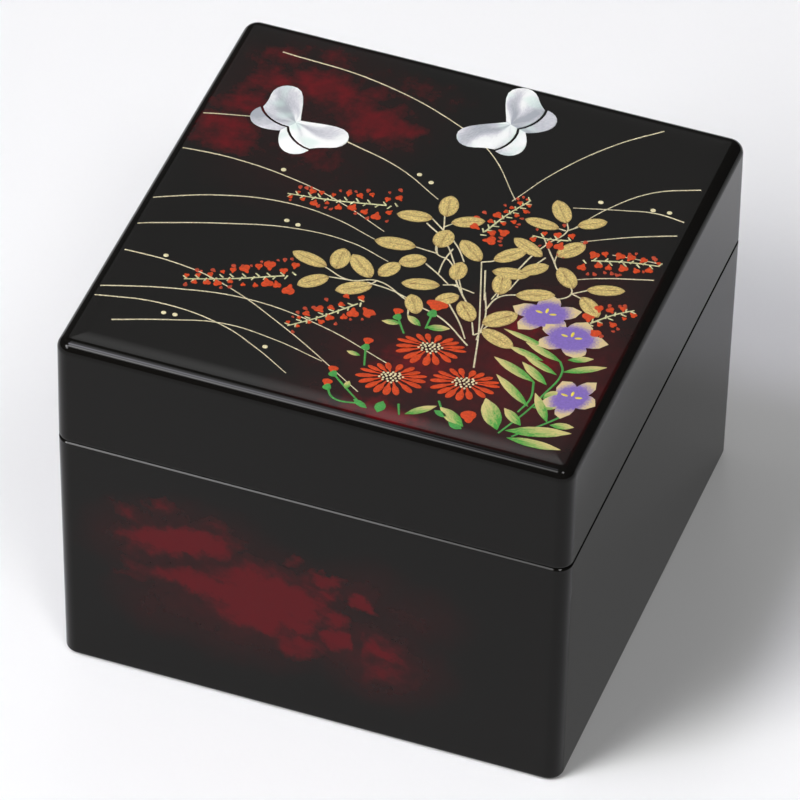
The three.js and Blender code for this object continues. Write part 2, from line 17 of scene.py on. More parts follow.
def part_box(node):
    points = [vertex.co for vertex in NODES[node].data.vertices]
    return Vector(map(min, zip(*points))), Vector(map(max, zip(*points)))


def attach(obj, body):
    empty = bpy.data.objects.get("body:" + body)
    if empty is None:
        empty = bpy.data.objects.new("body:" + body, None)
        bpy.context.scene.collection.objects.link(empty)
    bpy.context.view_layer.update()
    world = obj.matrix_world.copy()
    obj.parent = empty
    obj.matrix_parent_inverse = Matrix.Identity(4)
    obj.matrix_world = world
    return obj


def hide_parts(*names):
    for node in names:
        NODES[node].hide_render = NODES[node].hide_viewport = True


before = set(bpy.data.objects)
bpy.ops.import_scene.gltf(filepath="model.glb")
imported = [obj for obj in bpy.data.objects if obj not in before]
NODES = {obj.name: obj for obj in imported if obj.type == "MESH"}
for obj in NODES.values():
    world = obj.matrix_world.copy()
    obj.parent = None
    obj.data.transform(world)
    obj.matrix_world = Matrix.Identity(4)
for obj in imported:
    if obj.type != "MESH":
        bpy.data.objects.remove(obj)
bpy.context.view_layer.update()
MM = 0.001
scene = bpy.context.scene

# %% [markdown]
# ## Camera
# The photograph looks down on the front and the right side through a long lens. Its angles, its distance and
# the middle of the box in the image come from a fit to the straight edges of the box. The camera's three
# axes are built first, then turned by a small roll, and the camera is shifted sideways, not tilted, to
# bring the box to its place in the frame.

# %% Camera at the photograph's angle
AZIMUTH, ELEVATION, ROLL = (math.radians(angle) for angle in (19.433, 42.383, 1.072))
DISTANCE = 2.1404
FOCAL_PIXELS = 8150.77
IMAGE_PIXELS = 800
BOX_PIXEL = (402.31, 395.16)
BOX_MIDDLE = Vector((0, 0, 0.055))
SENSOR = 36


def direction(azimuth, elevation):
    level = math.cos(elevation)
    return Vector((math.sin(azimuth) * level, -math.cos(azimuth) * level, math.sin(elevation)))


back = direction(AZIMUTH, ELEVATION)
level = Vector((math.cos(AZIMUTH), math.sin(AZIMUTH), 0))
rise = back.cross(level)
right = level * math.cos(ROLL) + rise * math.sin(ROLL)
up = rise * math.cos(ROLL) - level * math.sin(ROLL)
pixel = DISTANCE / FOCAL_PIXELS
shift = up * (BOX_PIXEL[1] - IMAGE_PIXELS / 2) - right * (BOX_PIXEL[0] - IMAGE_PIXELS / 2)

bpy.ops.object.camera_add()
camera = bpy.context.object
camera.name = "camera"
camera.data.sensor_width = SENSOR
camera.data.lens = FOCAL_PIXELS / IMAGE_PIXELS * SENSOR
camera.data.clip_end = 100
turn = Matrix((right, up, back)).transposed().to_4x4()
camera.matrix_world = Matrix.Translation(BOX_MIDDLE + back * DISTANCE + shift * pixel) @ turn
scene.camera = camera
print("lens", round(camera.data.lens, 1), "mm")

# %% [markdown]
# ## Shader sums
# Node trees are long to write one node at a time. A small class holds one output of a node, and its operators
# add Math nodes, so a mask reads as the sum that it is. Any other node comes from its one method.


# %% A socket that adds up
class Flow:
    """One socket of a material's node tree, with operators that add Math nodes."""

    def __init__(self, tree, socket=None):
        self.tree, self.socket = tree, socket

    def node(self, kind, settings=None, values=None, output=0):
        made = self.tree.nodes.new(kind)
        for name, value in (settings or {}).items():
            if name == "stops":
                ramp = made.color_ramp.elements
                while len(ramp) < len(value):
                    ramp.new(1)
                for stop, (place, colour) in zip(ramp, value):
                    stop.position, stop.color = place, (*colour, 1)
            else:
                setattr(made, name, value)
        for name, value in (values or {}).items():
            if isinstance(value, Flow):
                self.tree.links.new(value.socket, made.inputs[name])
            else:
                made.inputs[name].default_value = value
        return Flow(self.tree, made.outputs[output])

    def math(self, operation, first, second=0.0, clamp=False):
        settings = {"operation": operation, "use_clamp": clamp}
        return self.node("ShaderNodeMath", settings, {0: first, 1: second})

    def __add__(self, other):
        return self.math("ADD", self, other)

    def __mul__(self, other):
        return self.math("MULTIPLY", self, other)

    def __sub__(self, other):
        return self.math("SUBTRACT", self, other)

    def __rsub__(self, other):
        return self.math("SUBTRACT", other, self)

    def __truediv__(self, other):
        return self.math("DIVIDE", self, other)

    def __pow__(self, other):
        return self.math("POWER", self, other)

    __radd__, __rmul__ = __add__, __mul__

    def clamped(self):
        return self.math("ADD", self, 0.0, clamp=True)

    def larger(self, other):
        return self.math("MAXIMUM", self, other)

    def size(self):
        return self.math("ABSOLUTE", self)

    def step(self, low, high):
        """A soft step from 0 at the one value to 1 at the other."""
        values = {"Value": self, "From Min": low, "From Max": high}
        return self.node("ShaderNodeMapRange", {"interpolation_type": "SMOOTHSTEP"}, values)

    def parts(self):
        return [self.node("ShaderNodeSeparateXYZ", {}, {0: self}, axis) for axis in range(3)]

    def joined(self, first, second, third=0.0):
        return self.node("ShaderNodeCombineXYZ", {}, {0: first, 1: second, 2: third})

    def local(self, middle, turn, size=(1, 1)):
        """This place as seen from a middle, after a turn in degrees, in units of a width and a height."""
        values = {"Location": (*middle, 0), "Rotation": (0, 0, math.radians(turn)), "Scale": (*size, 1)}
        return self.node("ShaderNodeMapping", {"vector_type": "TEXTURE"}, {"Vector": self, **values})

    def mixed(self, low, high):
        """From one colour to another as this value goes from 0 to 1."""
        return self.node("ShaderNodeMix", {"data_type": "RGBA"}, {0: self, 6: low, 7: high}, 2)

    def noise(self, scale, detail=3.0, rough=0.5, shift=0.0):
        """Noise over this place, with a size that scale gives in waves to the millimetre."""
        moved = self.node("ShaderNodeVectorMath", {}, {0: self, 1: (shift, shift, shift)})
        values = {"Vector": moved, "Scale": scale, "Detail": detail, "Roughness": rough}
        return self.node("ShaderNodeTexNoise", {}, values, "Fac")


print("sums ready")


# %% A material and a colour
class Finish:
    """A material with its shader, and its place over the object in millimetres."""

    def __init__(self, name, **constants):
        self.material = bpy.data.materials.new(name)
        self.material.use_nodes = True
        tree = self.material.node_tree
        self.shader = tree.nodes["Principled BSDF"]
        for socket, value in constants.items():
            self.shader.inputs[socket.replace("_", " ")].default_value = value
        start = Flow(tree)
        metres = start.node("ShaderNodeTexCoord", output="Object")
        self.place = start.node("ShaderNodeVectorMath", {"operation": "SCALE"}, {0: metres, "Scale": 1000})

    def feed(self, socket, flow):
        self.material.node_tree.links.new(flow.socket, self.shader.inputs[socket])

    def bump(self, height, strength, depth=0.0001):
        values = {"Height": height, "Strength": strength, "Distance": depth}
        self.feed("Normal", height.node("ShaderNodeBump", {}, values))


def colour(red, green, blue):
    """A colour as a screen shows it, from 0 to 255, in the light's own scale."""
    shown = (part / 255 for part in (red, green, blue))
    return (*(part / 12.92 if part < 0.04 else ((part + 0.055) / 1.055) ** 2.4 for part in shown), 1)


print("a middle grey as light", round(colour(128, 128, 128)[0], 3))

# %% [markdown]
# ## Studio
# Polished black shows hardly any colour of its own: it shows the room. So each lamp is put where some part of
# the box mirrors it to the camera, or where no part does. The flat top mirrors a dim panel at the back, its
# curved margin a strip over that panel, the rounded front edge a softbox overhead with a bright core, and the
# rim at the seam a lamp of its own. Grids over these make their light fade with the angle, so their images
# have soft edges. A key lamp and a smaller one at the front left, and another at the front right, light the
# colours, and the corners mirror them. The right side mirrors the floor beside it, and its upper edge the dark
# of the room. The floor is white by its own colour and keeps the shadow. Seen from below it is clear.

# %% Room and softboxes
ROOM_LIGHT = 0.14
LAMP_DISTANCE = 3.4
EDGE_TILT, SEAM_TILT, MARGIN_TILT = 30.5, 39.5, 3.4
COOL, LAVENDER = (0.95, 0.95, 1), (0.88, 0.86, 1)

world = bpy.data.worlds.new("studio")
world.use_nodes = True
room = world.node_tree.nodes["Background"].inputs
room["Color"].default_value, room["Strength"].default_value = (1, 1, 1, 1), ROOM_LIGHT
scene.world = world
scene.view_settings.view_transform = "Standard"


def mirrored(tilt, aside=0.0):
    """Where the camera looks by way of a lid that tilts to the front by so many degrees."""
    normal = Vector((0, -math.sin(math.radians(tilt)), math.cos(math.radians(tilt))))
    return (2 * back.dot(normal) * normal - back + Vector((aside, 0, 0))).normalized()


def beside(azimuth, elevation):
    return direction(math.radians(azimuth), math.radians(elevation))


def softbox(name, towards, width, height, radiance, fade=0, tint=(1, 1, 1)):
    """A lamp of so many degrees as seen from the box, whose grid may fade its light to none at an angle."""
    across = (Vector((1, 0, 0)) - towards.x * towards).normalized()
    bpy.ops.object.light_add(type="AREA")
    lamp = bpy.context.object
    lamp.name = name
    lamp.data.shape = "RECTANGLE"
    lamp.data.size = 2 * LAMP_DISTANCE * math.tan(math.radians(width / 2))
    lamp.data.size_y = 2 * LAMP_DISTANCE * math.tan(math.radians(height / 2))
    kept = 1
    if fade:
        lamp.data.spread = 2 * math.radians(fade)
        kept = 1 - math.radians(fade) / math.tan(math.radians(fade))
    lamp.data.energy = radiance * kept * math.pi * lamp.data.size * lamp.data.size_y
    lamp.data.color = tint
    axes = Matrix((across, towards.cross(across), towards)).transposed().to_4x4()
    lamp.matrix_world = Matrix.Translation(BOX_MIDDLE + towards * LAMP_DISTANCE) @ axes
    lamp.visible_camera = False


softbox("overhead_light", mirrored(EDGE_TILT, -0.06), 7, 62, 6.0, 33, COOL)
softbox("overhead_core", mirrored(EDGE_TILT, -0.115), 20, 20, 20.0, 9, LAVENDER)
softbox("seam_light", mirrored(SEAM_TILT, -0.06), 20, 20, 15.0, 10)
softbox("back_panel", mirrored(0, -0.02), 22, 22, 0.55)
softbox("back_strip", mirrored(MARGIN_TILT, 0.01), 16, 14, 2.6, 7)
softbox("key_light", beside(-38, 36), 15, 26, 12)
softbox("left_light", beside(-48, 36), 11, 11, 14)
softbox("right_light", beside(40, 54), 13, 13, 12.5)
lamps = [piece for piece in scene.objects if piece.type == "LIGHT"]
print(len(lamps), "softboxes")

# %% Floor
FLOOR_SIZE = 40
bpy.ops.mesh.primitive_plane_add(size=FLOOR_SIZE)
floor = bpy.context.object
floor.name = "floor"
paper = Finish("floor_paper", Base_Color=(0.93, 0.93, 0.93, 1), Roughness=1.0, Specular_IOR_Level=0.0)
nodes, links = paper.material.node_tree.nodes, paper.material.node_tree.links
from_below = paper.place.node("ShaderNodeNewGeometry", output="Backfacing")
clear = from_below.node("ShaderNodeBsdfTransparent")
mixed = from_below.node("ShaderNodeMixShader", {}, {0: from_below, 2: clear})
links.new(paper.shader.outputs[0], mixed.socket.node.inputs[1])
links.new(mixed.socket, nodes["Material Output"].inputs["Surface"])
floor.data.materials.append(paper.material)
print("floor", FLOOR_SIZE, "m wide")

# %% [markdown]
# ## Black lacquer with red clouds
# Many thin coats are rubbed flat over a moulded body, so the surface is nearly a mirror. The clouds were
# dabbed on under the last clear coats: each is an oval in millimetres on the front or on the lid, with a turn
# and a strength, and noise pulls its edge about as a dabbed sponge does. On the front a second noise, drawn out
# along the brush, breaks the clouds into streaks. Wide faint ovals make the glow round them.


# %% Clouds
def ovals(at, places):
    """The strongest of several soft ovals: middle, half width, half height, turn and strength."""
    total = None
    for middle_a, middle_b, half_a, half_b, turn, strength in places:
        local = at.local((middle_a, middle_b), turn, (half_a, half_b))
        ball = local.node("ShaderNodeTexGradient", {"gradient_type": "SPHERICAL"}, {"Vector": local}, "Fac")
        oval = ball * strength
        total = oval if total is None else total.larger(oval)
    return total


FRONT_CLOUDS = [
    (-12, 40, 22, 14, 4, 1.0), (-30, 39, 16, 6.5, 6, 0.9), (-13, 33.5, 15, 10, 4, 1.0),
    (-3, 37.5, 9, 14, 0, 1.0), (-2, 25.5, 9, 7, 0, 0.65), (-36, 51.5, 20, 6, 10, 1.0),
    (-26, 54.5, 13, 5, 8, 0.6), (-47, 46, 9, 5, 20, 0.36), (-41, 62.5, 7, 4, 0, 0.36),
    (-50, 58.5, 9, 4, -20, 0.36), (-25.5, 60, 6, 6, 0, 0.36), (-4, 55, 4, 3.2, 0, 0.5),
    (4.7, 52, 5.4, 4, 10, 0.75), (5.3, 46.7, 5, 3.4, 0, 0.6), (14.2, 46, 5.4, 3, -38, 0.8),
    (7.7, 37.8, 6, 4.8, 0, 0.85), (8.3, 31, 6.8, 5, 12, 0.9), (19, 31.5, 13, 7, 4, 0.6),
    (22, 25, 13, 10, 0, 0.34), (-47, 37, 12, 6, 10, 0.34),
]
FRONT_GLOWS = [
    (-16, 36, 36, 25, 8, 0.9), (-36, 51, 32, 17, 10, 0.8), (-34, 31, 26, 17, 10, 0.65),
    (19, 28, 24, 18, 0, 0.8), (12, 48, 22, 14, 30, 0.5), (27, 45, 22, 14, 20, 0.4),
]
LID_CLOUDS = [
    (-41, 49.5, 14, 11, 0, 1.0), (-35, 46.5, 10, 8.5, 0, 0.85), (-21.5, 40.5, 17, 11, -8, 0.95),
    (-25, 37.5, 11, 8, 10, 0.9), (-16, 40, 10, 8, 0, 0.9), (-54, 46, 10, 8, 12, 0.85),
    (-58, 35.5, 13, 6, 10, 0.9), (-60, 25, 14, 8, 8, 0.95), (-57, 20, 13, 7, 10, 0.95),
    (-43, 60.5, 12, 6.5, 0, 0.45), (-55, 57, 12, 5.6, 10, 0.55), (-27, 51.8, 7, 6, 0, 0.6),
    (-17, 57.5, 20, 8, -6, 0.42), (-56, 50.5, 9, 5.6, 0, 0.45), (-60.5, 41, 6, 6, 0, 0.45),
    (-32, 21, 17, 9, -10, 0.45), (20, -45.5, 18, 12, 0, 0.62), (18, -65, 19, 7, 0, 0.9),
    (39, -21.5, 11, 7, 0, 0.6), (50, -32, 9, 6, 10, 0.5),
]
LID_GLOWS = [
    (-42, 40, 42, 34, 0, 0.4), (-36, 14, 32, 20, -10, 0.25), (19, -46, 36, 28, 0, 0.95),
    (46, -37, 38, 36, 0, 1.8), (22, -65, 38, 13, 0, 0.9), (50, -6, 26, 26, 0, 0.5),
]
print(len(FRONT_CLOUDS), "clouds on the front and", len(LID_CLOUDS), "on the lid")

# %% Lacquer
FRONT_FACE, LID_FACE = (66.5, 69), (109.6, 109.85)
BRUSH_TURN, BRUSH_STROKE = -14, (4.5, 1.1)
LACQUER_BLACK = (0.0038, 0.0034, 0.0028, 1)
# The clouds' red is painted lighter on the lid than on the front: painted light on the top, which the studio
# lights more dimly than the front.
FRONT_RED, LID_RED_WITH_PAINTED_LIGHT = (0.083, 0.0008, 0.003, 1), (0.112, 0.001, 0.004, 1)

lacquer = Finish("black_lacquer", Specular_IOR_Level=0.15, IOR=1.5)
place = lacquer.place
drift_a = (place.noise(0.1, 6.0, 0.66) - 0.5) * 15
drift_b = (place.noise(0.1, 6.0, 0.66, shift=90.0) - 0.5) * 13
dabs = place.noise(0.22, 6.0, 0.66, shift=40.0) - 0.5
x, y, z = place.parts()
on_front = (0 - y).step(*FRONT_FACE)
on_lid = z.step(*LID_FACE)
front_at = place.joined(x + drift_a, z + drift_b)
lid_at = place.joined(x + drift_a, y + drift_b)
gaps = (1 - (x + drift_a * 0.4 - 13.2).size().step(0.4, 1.8)) * z.step(17, 22) * (1 - z.step(38, 43))
streaks = front_at.local((0, 0), BRUSH_TURN, BRUSH_STROKE).noise(0.3, 4.0, 0.6, shift=20.0) - 0.5
brushed = ovals(front_at, FRONT_CLOUDS) * (dabs * 1.3 + streaks * 2.2 + 1.05)
front_share = (brushed + streaks * 0.2 - gaps * 0.4).step(0.06, 0.6)
front_glow = ovals(front_at, FRONT_GLOWS) * (dabs * 1.3 + 0.8)
front_clouds = (front_share * 0.8 + front_glow * 0.5) * on_front * (1 - on_lid)
lid_share = (ovals(lid_at, LID_CLOUDS) + dabs * 0.9).step(0.1, 0.85)
lid_glow = ovals(lid_at, LID_GLOWS) * (dabs * 1.6 + 0.8)
lid_clouds = (lid_share * (dabs * 1.2 + 0.75) + lid_glow * 0.38) * on_lid
clouds = (front_clouds + lid_clouds).clamped()
lacquer.feed("Base Color", clouds.mixed(LACQUER_BLACK, on_lid.mixed(FRONT_RED, LID_RED_WITH_PAINTED_LIGHT)))
lacquer.feed("Roughness", place.noise(0.05, 6.0) * 0.05 + 0.045)
lacquer.bump(place.noise(0.12, 2.0), 0.012)
print("lacquer of", len(lacquer.material.node_tree.nodes), "nodes")

# %% [markdown]
# ## Paint, gold and mother-of-pearl
# The gold is powder strewn on wet lacquer, so it is mottled and hardly mirrors. The colours are pigment in
# lacquer with a soft gloss. Leaves and bellflowers pass into gold at their tips, and gold leaves have veins:
# their meshes carry two numbers, tip and side, which the materials read. Mother-of-pearl shines in fans that
# start at the wings' roots, so its noise runs over the angle about the butterfly's body.


# %% Pigment and gold powder
def paint(name, shade, spread=0.25, rough=0.38, grain=1.6):
    """Pigment in lacquer: a colour that thins and thickens a little, with a soft gloss."""
    made = Finish(name, Specular_IOR_Level=0.35)
    body = made.place.noise(grain, 4.0, 0.6)
    dark = (*(part * (1 - spread) for part in shade[:3]), 1)
    light = (*(min(part * (1 + spread), 1) for part in shade[:3]), 1)
    made.tone = ((body - 0.5) * 2.2 + 0.5).clamped().mixed(dark, light)
    made.feed("Base Color", made.tone)
    made.feed("Roughness", body * 0.2 + (rough - 0.1))
    made.bump(made.place.noise(grain * 2, 2.0), 0.15, 0.00003)
    return made


GOLD = colour(216, 193, 122)
GOLD_PINK = colour(190, 140, 100)
GOLD_GREEN = colour(174, 168, 92)
VEIN_BROWN = colour(134, 100, 52)
LINE_GOLD = colour(216, 206, 172)


def gold_powder(name, shade):
    """Gold strewn as powder, with grains that lean to pink and to green."""
    made = paint(name, shade, 0.46, 0.45, 2.2)
    pink = (made.place.noise(2.0, 2.0, 0.5, 17.0) - 0.56).step(0, 0.16)
    green = (made.place.noise(2.0, 2.0, 0.5, 53.0) - 0.56).step(0, 0.16)
    warm = (pink * 0.6).mixed(made.tone, GOLD_PINK)
    made.tone = (green * 0.5).mixed(warm, GOLD_GREEN)
    made.feed("Base Color", made.tone)
    made.shader.inputs["Metallic"].default_value = 0.1
    return made


print("gold as light", [round(part, 3) for part in GOLD[:3]])


# %% Veins and tips
def drawn(finish, name):
    """A number that the mesh carries at each point."""
    return finish.place.node("ShaderNodeAttribute", {"attribute_name": name}, output="Fac")


def veined(name):
    """Gold for leaves: a brown rim, a middle vein and fine scratched lines along the leaf."""
    made = gold_powder(name, GOLD)
    tip, side = drawn(made, "tip"), drawn(made, "side")
    along = tip * 2 - 1
    rim = ((along * along + side * side) ** 0.5).step(0.8, 1.02)
    vein = (1 - side.size().step(0.03, 0.17)) * (1 - tip.step(0.75, 0.95))
    lines_at = made.place.joined(tip * 2.2, side * 6, made.place.noise(0.2) * 9)
    lines = lines_at.noise(1.6, 2.0).step(0.48, 0.66)
    marks = (vein * 0.45 + rim * 0.36 + lines * 0.55).clamped()
    made.feed("Base Color", marks.mixed(made.tone, VEIN_BROWN))
    return made


def tipped(name, shade, tip_shade, start, width, across=0.0):
    """Paint that passes into another shade towards the tip, and across the leaf in brushed streaks."""
    made = paint(name, shade, 0.16)
    tip, side = drawn(made, "tip"), drawn(made, "side")
    speckle = (made.place.noise(1.8, 3.0, 0.6, 31.0) - 0.5) * 0.5
    streaks = made.place.joined(tip * 1.4, side * 3, made.place.noise(0.1) * 20).noise(1.5, 2.0) - 0.5
    passing = ((tip + speckle + (side * 0.6 + streaks * 2.6) * across - start) / width).clamped()
    made.feed("Base Color", passing.mixed(made.tone, tip_shade))
    return made


print("veins and tips ready")

# %% Gold and colours
gold = veined("gold_powder")
gold_line = gold_powder("gold_line", LINE_GOLD)
vermilion = paint("vermilion", colour(200, 66, 20), 0.3)
cream = paint("cream_dots", colour(222, 212, 170), 0.2)
pale_stem = paint("pale_stem", colour(198, 196, 150), 0.3)
rust = paint("rust_red", colour(176, 66, 40), 0.35)
yellow = paint("yellow_dots", colour(222, 204, 72), 0.15)
bellflower_paint = tipped("bellflower_purple", colour(124, 100, 176), colour(212, 190, 140), 0.6, 0.3)
leaf_paint = tipped("leaf_green", colour(66, 152, 58), colour(206, 192, 124), 0.08, 0.8, 0.5)
stem_paint = paint("stem_green", colour(70, 150, 70), 0.3)
print(len(bpy.data.materials), "materials so far")


# %% Mother-of-pearl
PEARL_STOPS = [
    (0, (0.36, 0.38, 0.42)), (0.3, (0.6, 0.6, 0.64)), (0.6, (0.86, 0.87, 0.86)), (1, (0.96, 0.97, 0.95)),
]
PEARL_GREEN = colour(208, 232, 222)


def pearl(name, middle_x, middle_y, heading, shaded, dimmed):
    """Shell cut for one butterfly: fans of pale light about its body, one side greyer behind."""
    made = Finish(name, Specular_IOR_Level=0.6)
    body = made.place.local((middle_x, middle_y), heading)
    ahead, across, _ = body.parts()
    angle = body.math("ARCTAN2", ahead, across.size() + 0.01)
    reach = (ahead * ahead + across * across) ** 0.5
    side = body.math("SIGN", across)
    bend = (made.place.noise(0.09, 1.0) - 0.5) * 0.9
    fan_place = body.joined(angle * 1.2 + bend, reach * 0.04, side * 5)
    fans = fan_place.noise(1.25, 0.5)
    grey = (1 - angle.step(-0.1, 0.5)) * (side * shaded).clamped()
    silk = fan_place.noise(22.0, 1.0)
    light = fans.step(0.27, 0.57) * 0.8 + 0.2 + (silk - 0.5) * 0.36 + (reach - 9) * 0.02
    depth = (light - grey * 0.6 - dimmed).clamped()
    shade = depth.node("ShaderNodeValToRGB", {"stops": PEARL_STOPS}, {0: depth})
    green = (made.place.noise(0.14, 1.0, 0.5, 11.0) - 0.5).step(0, 0.2)
    made.feed("Base Color", (green * 0.5).mixed(shade, PEARL_GREEN))
    made.feed("Roughness", fans * 0.12 + 0.14)
    made.bump(fans, 0.1, 0.00008)
    return made


LEFT_BUTTERFLY = (-42.4, 32.4, 56.5, 1, 0)
RIGHT_BUTTERFLY = (10.4, 52, 160, -1, 0.16)
pearl_left = pearl("pearl_left", *LEFT_BUTTERFLY)
pearl_right = pearl("pearl_right", *RIGHT_BUTTERFLY)
print("two shells of mother-of-pearl")

# %% [markdown]
# ## Velvet, ribbon, felt, brass and mirror
# Velvet is dark where one looks into its pile and pale at its edges, which is what sheen does, and hands have
# stroked its nap in patches. Ribbon has ribs across it, felt has matted fibres, and brass a fine grain from
# the rubbing along its length. The mirror has faint smears. All of them are noise or waves over the object's
# own millimetres, because the pieces have no UV maps and the patterns keep one size on all of them.

# %% Velvet, ribbon and felt
velvet = Finish("wine_velvet", Specular_IOR_Level=0.1, Sheen_Weight=0.55, Sheen_Roughness=0.45)
velvet.shader.inputs["Sheen Tint"].default_value = (0.95, 0.42, 0.5, 1)
WINE_DARK, WINE_LIGHT = (0.075, 0.006, 0.014, 1), (0.17, 0.016, 0.034, 1)
nap = ((velvet.place.noise(0.045, 3.0, 0.55) - 0.5) * 1.8 + 0.5).clamped()
pile = velvet.place.noise(3.2, 2.0, 0.6)
velvet.feed("Base Color", (nap * 0.75 + pile * 0.25).mixed(WINE_DARK, WINE_LIGHT))
velvet.feed("Roughness", pile * 0.1 + 0.88)
velvet.bump(pile, 0.5, 0.00015)

ribbon = Finish("wine_ribbon", Specular_IOR_Level=0.4, Sheen_Weight=0.2)
RIB = 0.85
height = ribbon.place.parts()[2]
ribs_and_painted_shade = ribbon.place.math("SINE", height * (2 * math.pi / RIB)) * 0.5 + 0.5
threads = ribbon.place.noise(2.5, 2.0)
# The ribbon's colour is painted darker in the grooves between the ribs and lighter on their crests: painted
# shade and painted highlight over the ribs' real relief, which the bump gives.
ribbon.feed("Base Color", (ribs_and_painted_shade * 0.7 + threads * 0.3).mixed((0.14, 0.01, 0.018, 1), (0.34, 0.03, 0.05, 1)))
ribbon.feed("Roughness", 0.55 - ribs_and_painted_shade * 0.15)
ribbon.bump(ribs_and_painted_shade, 0.6, 0.00012)

felt = Finish("black_felt", Specular_IOR_Level=0.05, Sheen_Weight=0.3, Sheen_Roughness=0.6)
fibres = felt.place.noise(1.4, 6.0, 0.75)
felt.feed("Base Color", fibres.mixed((0.006, 0.006, 0.007, 1), (0.024, 0.024, 0.026, 1)))
felt.feed("Roughness", fibres * 0.1 + 0.9)
felt.bump(fibres, 0.7, 0.0002)
print("three cloths")

# %% Brass and mirror
brass = Finish("satin_brass", Metallic=1.0)
grain_place = brass.place.node("ShaderNodeMapping", {}, {"Vector": brass.place, "Scale": (0.06, 1, 1)})
grain = grain_place.noise(5.0, 3.0)
dulled = ((brass.place.noise(0.35, 4.0, 0.6) - 0.45) * 2.5).clamped()
brass.feed("Base Color", dulled.mixed((0.74, 0.54, 0.23, 1), (0.5, 0.34, 0.13, 1)))
brass.feed("Roughness", grain * 0.16 + dulled * 0.1 + 0.18)
brass.bump(grain, 0.12, 0.00003)

mirror = Finish("mirror_silver", Metallic=1.0)
smears = ((mirror.place.noise(0.04, 5.0, 0.6) - 0.5) * 2).clamped()
mirror.feed("Base Color", smears.mixed((0.9, 0.92, 0.93, 1), (0.85, 0.87, 0.88, 1)))
mirror.feed("Roughness", smears * 0.035 + 0.01)
print(len(bpy.data.materials), "materials")

# %% [markdown]
# ## Shaping by hand
# The pieces are shaped as one would at the screen: a block is added at its size, edges are picked by where
# they lie, and a bevel rounds them. Hollows are carved with a second block. Weighted normals then keep the
# broad faces flat in the light next to their rounded edges.


# %% Helpers that pick and round
def choose(piece, kind, test):
    """Selects, in edit mode, the vertices, edges or faces that pass a test."""
    bpy.ops.mesh.select_mode(type=kind)
    bpy.ops.mesh.select_all(action="DESELECT")
    mesh = bmesh.from_edit_mesh(piece.data)
    members = {"VERT": mesh.verts, "EDGE": mesh.edges, "FACE": mesh.faces}[kind]
    for member in members:
        if test(member):
            member.select_set(True)
    mesh.select_flush_mode()
    bmesh.update_edit_mesh(piece.data)


def pick_nothing():
    bpy.ops.object.select_all(action="DESELECT")


def only(piece):
    pick_nothing()
    piece.select_set(True)
    bpy.context.view_layer.objects.active = piece


def edit(piece):
    only(piece)
    bpy.ops.object.mode_set(mode="EDIT")


def done():
    bpy.ops.object.mode_set(mode="OBJECT")


def upright(edge):
    return abs(edge.verts[0].co.z - edge.verts[1].co.z) > 0.7 * edge.calc_length()


def at_height(height):
    return lambda edge: all(abs(v.co.z - height * MM) < 1e-6 for v in edge.verts)


def rim_at(height):
    """Edges at a height where two faces meet at a right angle."""
    level = at_height(height)
    return lambda e: level(e) and len(e.link_faces) == 2 and e.calc_face_angle() > 1


def round_edges(piece, test, radius, steps):
    edit(piece)
    choose(piece, "EDGE", test)
    bpy.ops.mesh.bevel(offset=radius * MM, segments=steps)
    done()


def rounded_block(name, low, high, corner, steps=8, lean=0.0):
    """A block between two corners in millimetres with rounded upright edges; its foot may lean in."""
    low, high = Vector(low) * MM, Vector(high) * MM
    pick_nothing()
    bpy.ops.mesh.primitive_cube_add(size=1, location=(low + high) / 2, scale=high - low)
    block = bpy.context.object
    block.name = block.data.name = name
    bpy.ops.object.transform_apply(location=True, rotation=True, scale=True)
    bpy.ops.object.mode_set(mode="EDIT")
    if lean:
        choose(block, "VERT", lambda v: v.co.z < low.z + 1e-6)
        shrink = 1 - 2 * lean * MM / (high.x - low.x)
        bpy.ops.transform.resize(value=(shrink, shrink, 1), center_override=(0, 0, low.z))
    choose(block, "EDGE", upright)
    bpy.ops.mesh.bevel(offset=corner * MM, segments=steps)
    done()
    return block


print("blocks ready")


# %% Helpers that carve, smooth and dress
def press(piece, modifier):
    only(piece)
    bpy.ops.object.modifier_apply(modifier=modifier.name)


def carve(piece, cutter):
    cut = piece.modifiers.new("carve", "BOOLEAN")
    cut.operation, cut.solver, cut.object = "DIFFERENCE", "EXACT", cutter
    press(piece, cut)
    bpy.data.objects.remove(cutter, do_unlink=True)


def smooth(piece, degrees=32):
    only(piece)
    bpy.ops.object.shade_smooth_by_angle(angle=math.radians(degrees))
    even = piece.modifiers.new("even_light", "WEIGHTED_NORMAL")
    even.keep_sharp = True
    press(piece, even)


def box_mm(node):
    return [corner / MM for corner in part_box(node)]


def twin(piece, name):
    """A copy of a piece with its own mesh."""
    copy = bpy.data.objects.new(name, piece.data.copy())
    scene.collection.objects.link(copy)
    return copy


def coat(piece, finish):
    piece.data.materials.clear()
    piece.data.materials.append(finish.material)


def dress(piece, finish, body, *nodes, slot=None):
    """Gives a piece its material, its body and the CAD nodes that it stands for."""
    coat(piece, finish)
    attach(piece, body)
    if nodes:
        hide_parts(*nodes)
    return piece


print("helpers ready")

# %% [markdown]
# ## Lid and case
# Both are moulded shells with a round plan at the corners. Rubbing down has left the lid's top flat in the
# middle and very slightly sunk along its margin, before the rounded edge: rings are inset one by one, each a
# little higher, and the outermost edge is then bevelled. The case leans in a little towards its base. Its rim
# has a narrow slope all round that catches the light as a thin line under the lid. The hinges lie in mortises
# cut into the back rims, and the felt in a shallow recess under the base.

